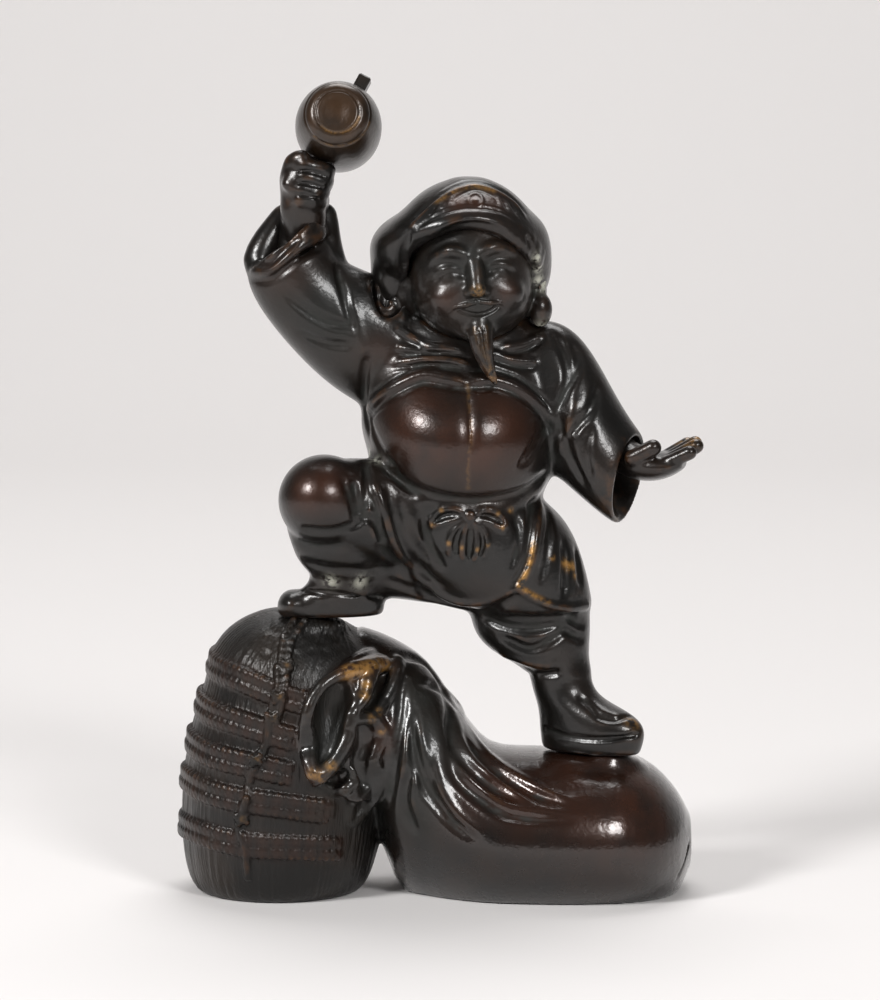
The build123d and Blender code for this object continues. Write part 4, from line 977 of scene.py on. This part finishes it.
class Patina:
    """The shader nodes of one material; a value is a number, a colour or another node's output."""

    def __init__(self, name):
        self.material = bpy.data.materials.new(name)
        self.material.use_nodes = True
        self.tree = self.material.node_tree
        self.shader = self.tree.nodes["Principled BSDF"]
        self.place = self.tree.nodes.new("ShaderNodeTexCoord").outputs["Object"]

    def feed(self, socket, value):
        """Gives a socket its value."""
        if isinstance(value, bpy.types.NodeSocket):
            self.tree.links.new(value, socket)
        else:
            socket.default_value = (*value, 1.0) if isinstance(value, tuple) else value

    def node(self, kind, **values):
        """A new node with values for its sockets, named with _ for a space."""
        made = self.tree.nodes.new(kind)
        for socket, value in values.items():
            self.feed(made.inputs[socket.replace("_", " ")], value)
        return made

    def noise(self, scale, detail=4.0, place=None):
        """Cloudy noise from 0 to 1."""
        place = self.place if place is None else place
        return self.node("ShaderNodeTexNoise", Scale=scale, Detail=detail, Vector=place).outputs["Fac"]

    def mark(self, name):
        """A number marked on the mesh's points."""
        made = self.node("ShaderNodeAttribute")
        made.attribute_name = name
        return made.outputs["Fac"]

    def combine(self, kind, a, b):
        """Two values added, multiplied or compared."""
        made = self.node("ShaderNodeMath")
        made.operation = kind
        self.feed(made.inputs[0], a)
        self.feed(made.inputs[1], b)
        return made.outputs[0]

    def ramp(self, value, low, high, top=1.0):
        """A soft step from 0 to its top, as a value goes from low to high."""
        span = {"From_Min": low, "From_Max": high, "To_Min": 0.0, "To_Max": top}
        made = self.node("ShaderNodeMapRange", Value=value, **span)
        made.interpolation_type = "SMOOTHSTEP"
        return made.outputs["Result"]

    def mix(self, share, a, b, kind="RGBA"):
        """A mix of two colours, or of two numbers if the kind is VALUE."""
        made = self.node("ShaderNodeMix", Factor=share)
        made.data_type = "RGBA" if kind == "RGBA" else "FLOAT"
        for name, value in (("A", a), ("B", b)):
            self.feed([s for s in made.inputs if s.name == name and s.type == kind][0], value)
        return [s for s in made.outputs if s.type == kind][0]

    def grain(self, stretch):
        """A bump of fine grain, or of upright fibres where the stretch is not 1."""
        plain = stretch == 1.0
        mapping = self.node("ShaderNodeMapping", Vector=self.place)
        mapping.inputs["Scale"].default_value = (1.0, 1.0, stretch)
        fine = self.noise(700.0 if plain else 1500.0, 3.0, mapping.outputs["Vector"])
        bump = self.node("ShaderNodeBump", Strength=0.22 if plain else 0.6, Distance=0.0004, Height=fine)
        return bump.outputs["Normal"]


def bronze(name, dark, brown, roughness, warm=RUBBED_BROWN, grain=1.0, shine=0.6, polish=0.21):
    """Waxed bronze: dark, browner where it is rubbed and on edges, gold where worn, dull in hollows."""
    patina = Patina(name)
    noise, mark, ramp, mix = patina.noise, patina.mark, patina.ramp, patina.mix
    rubbed = patina.combine("MULTIPLY", mark("warm"), ramp(noise(90.0), 0.10, 0.60))
    edge = patina.combine("MULTIPLY", ramp(mark("fine"), 0.10, 0.30), ramp(noise(210.0), 0.44, 0.66))
    gold = patina.combine("MULTIPLY", mark("gold"), ramp(noise(420.0), 0.34, 0.58))
    hollow = ramp(patina.combine("MULTIPLY", mark("broad"), -1.0), 0.10, 0.60, 0.8)
    crust = patina.combine("MULTIPLY", hollow, ramp(noise(240.0), 0.30, 0.65))
    crust = patina.combine("MAXIMUM", crust, mark("dull"))
    pale = patina.combine("MULTIPLY", mark("pale"), ramp(noise(600.0), 0.35, 0.55))
    colour = mix(ramp(noise(55.0), 0.38, 0.68), dark, brown)
    for share, over in (
        (rubbed, warm),
        (patina.combine("MULTIPLY", edge, 0.45), EDGE_BROWN),
        (crust, DULL_GREEN),
        (gold, WORN_GOLD),
        (pale, PALE_CRUST),
    ):
        colour = mix(share, colour, over)
    dull = patina.combine("MAXIMUM", crust, pale)
    rough = patina.combine("ADD", roughness, patina.combine("MULTIPLY", noise(130.0), 0.14))
    bump = patina.grain(grain)
    for socket, value in (
        ("Base Color", colour),
        ("Metallic", mix(dull, 0.35, 0.0, "VALUE")),
        ("Roughness", mix(dull, rough, 0.62, "VALUE")),
        ("Specular IOR Level", 0.36),
        ("Coat Weight", mix(dull, shine, 0.04, "VALUE")),
        ("Coat Roughness", polish),
        ("Normal", bump),
        ("Coat Normal", bump),
    ):
        patina.feed(patina.shader.inputs[socket], value)
    return patina.material


FINISHES = {  # dark and brown colour, roughness, and what else is set
    "bronze_dark": ((0.0065, 0.0058, 0.0050), (0.013, 0.0088, 0.0066), 0.27, {}),
    "bronze_warm": ((0.0070, 0.0058, 0.0048), (0.016, 0.0092, 0.0060), 0.25, {}),
    "bronze_sack": ((0.0065, 0.0055, 0.0048), (0.015, 0.0088, 0.0060), 0.20, {"shine": 1.0, "polish": 0.14}),
    "bronze_straw": ((0.0080, 0.0070, 0.0060), (0.017, 0.0120, 0.0085), 0.36, {"grain": 0.05, "shine": 0.3}),
    "bronze_mallet": ((0.0080, 0.0064, 0.0050), (0.021, 0.0130, 0.0075), 0.27, {"warm": MALLET_BROWN}),
    "brass_fasteners": ((0.20, 0.12, 0.04), (0.26, 0.16, 0.06), 0.34, {}),
}
MATERIALS = {slot: bronze(slot, *values, **more) for slot, (*values, more) in FINISHES.items()}
SLOTS = {  # all other nodes are bronze_dark
    "robe_body": "bronze_warm",
    "head": "bronze_warm",
    "right_hand": "bronze_warm",
    "left_hand": "bronze_warm",
    "treasure_sack": "bronze_sack",
    "rice_bale": "bronze_straw",
    "mallet_barrel": "bronze_mallet",
    "mallet_handle": "bronze_mallet",
    "boot_studs": "brass_fasteners",
    "boot_washers": "brass_fasteners",
    "boot_nuts": "brass_fasteners",
    "base_rivets": "brass_fasteners",
}
SHOWN_AS_CAD = ("mallet_handle", "joint_pins", "boot_studs", "boot_washers", "boot_nuts", "base_rivets")

for group in (sculpt_figure, sculpt_head, sculpt_cap, sculpt_hands, sculpt_base, sculpt_mallet):
    for node_name, piece in group().items():
        slot = SLOTS.get(node_name, "bronze_dark")
        piece.data.materials.clear()
        piece.data.materials.append(MATERIALS[slot])
        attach(piece, "mallet" if node_name.startswith("mallet") else "statue")
        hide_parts(node_name)
for node_name in SHOWN_AS_CAD:
    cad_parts[node_name].data.materials.clear()
    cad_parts[node_name].data.materials.append(MATERIALS[SLOTS.get(node_name, "bronze_dark")])


# Room: a pale floor that curves up into the wall behind
def studio():
    """The floor and wall in one sheet, in metres."""
    near, bend, sweep, top, side = -3.0, 1.2, 0.8, 4.0, 4.0
    turns = np.linspace(0.1, math.pi / 2, 16)
    profile = [(near, 0.0), (bend, 0.0)]
    profile += [(bend + sweep * math.sin(a), sweep - sweep * math.cos(a)) for a in turns]
    profile.append((bend + sweep, top))
    points = [(x, y, z) for y, z in profile for x in (-side, side)]
    faces = [(2 * k, 2 * k + 1, 2 * k + 3, 2 * k + 2) for k in range(len(profile) - 1)]
    mesh = bpy.data.meshes.new("backdrop")
    mesh.from_pydata(points, [], faces)
    mesh.polygons.foreach_set("use_smooth", np.ones(len(faces), bool))
    backdrop = bpy.data.objects.new("backdrop", mesh)
    bpy.context.scene.collection.objects.link(backdrop)
    paper = bpy.data.materials.new("paper")
    paper.use_nodes = True
    shader = paper.node_tree.nodes["Principled BSDF"]
    shader.inputs["Base Color"].default_value = (0.80, 0.775, 0.765, 1.0)
    shader.inputs["Roughness"].default_value = 0.9
    mesh.materials.append(paper)


def lamp(name, place, aim, size, power):
    """A soft square lamp, its place and aim in metres."""
    light = bpy.data.lights.new(name, "AREA")
    light.size = size
    light.energy = power
    holder = bpy.data.objects.new(name, light)
    holder.location = place
    holder.rotation_mode = "QUATERNION"
    holder.rotation_quaternion = (Vector(aim) - Vector(place)).to_track_quat("-Z", "Y")
    bpy.context.scene.collection.objects.link(holder)


studio()
lamp("key", (-1.2, -1.1, 1.15), (0, 0, 0.12), 0.45, 27.0)
lamp("fill", (0.75, -1.4, 1.0), (0, 0, 0.12), 0.45, 15.0)
lamp("top", (0.1, 0.8, 1.9), (0, 0.6, 0.1), 1.2, 22.0)
world = bpy.context.scene.world or bpy.data.worlds.new("world")
bpy.context.scene.world = world
world.use_nodes = True
sky = world.node_tree.nodes["Background"]
sky.inputs["Color"].default_value = (0.93, 0.91, 0.90, 1.0)
sky.inputs["Strength"].default_value = 0.12
bpy.context.scene.view_settings.view_transform = "Standard"

camera = bpy.data.objects.new("camera", bpy.data.cameras.new("camera"))
camera.data.lens = CAMERA_LENS
camera.data.clip_end = 20.0
camera.location = Vector(EYE) * MM
camera.rotation_mode = "QUATERNION"
camera.rotation_quaternion = (Vector(CAMERA_AIM) * MM - camera.location).to_track_quat("-Z", "Y")
bpy.context.scene.collection.objects.link(camera)
bpy.context.scene.camera = camera
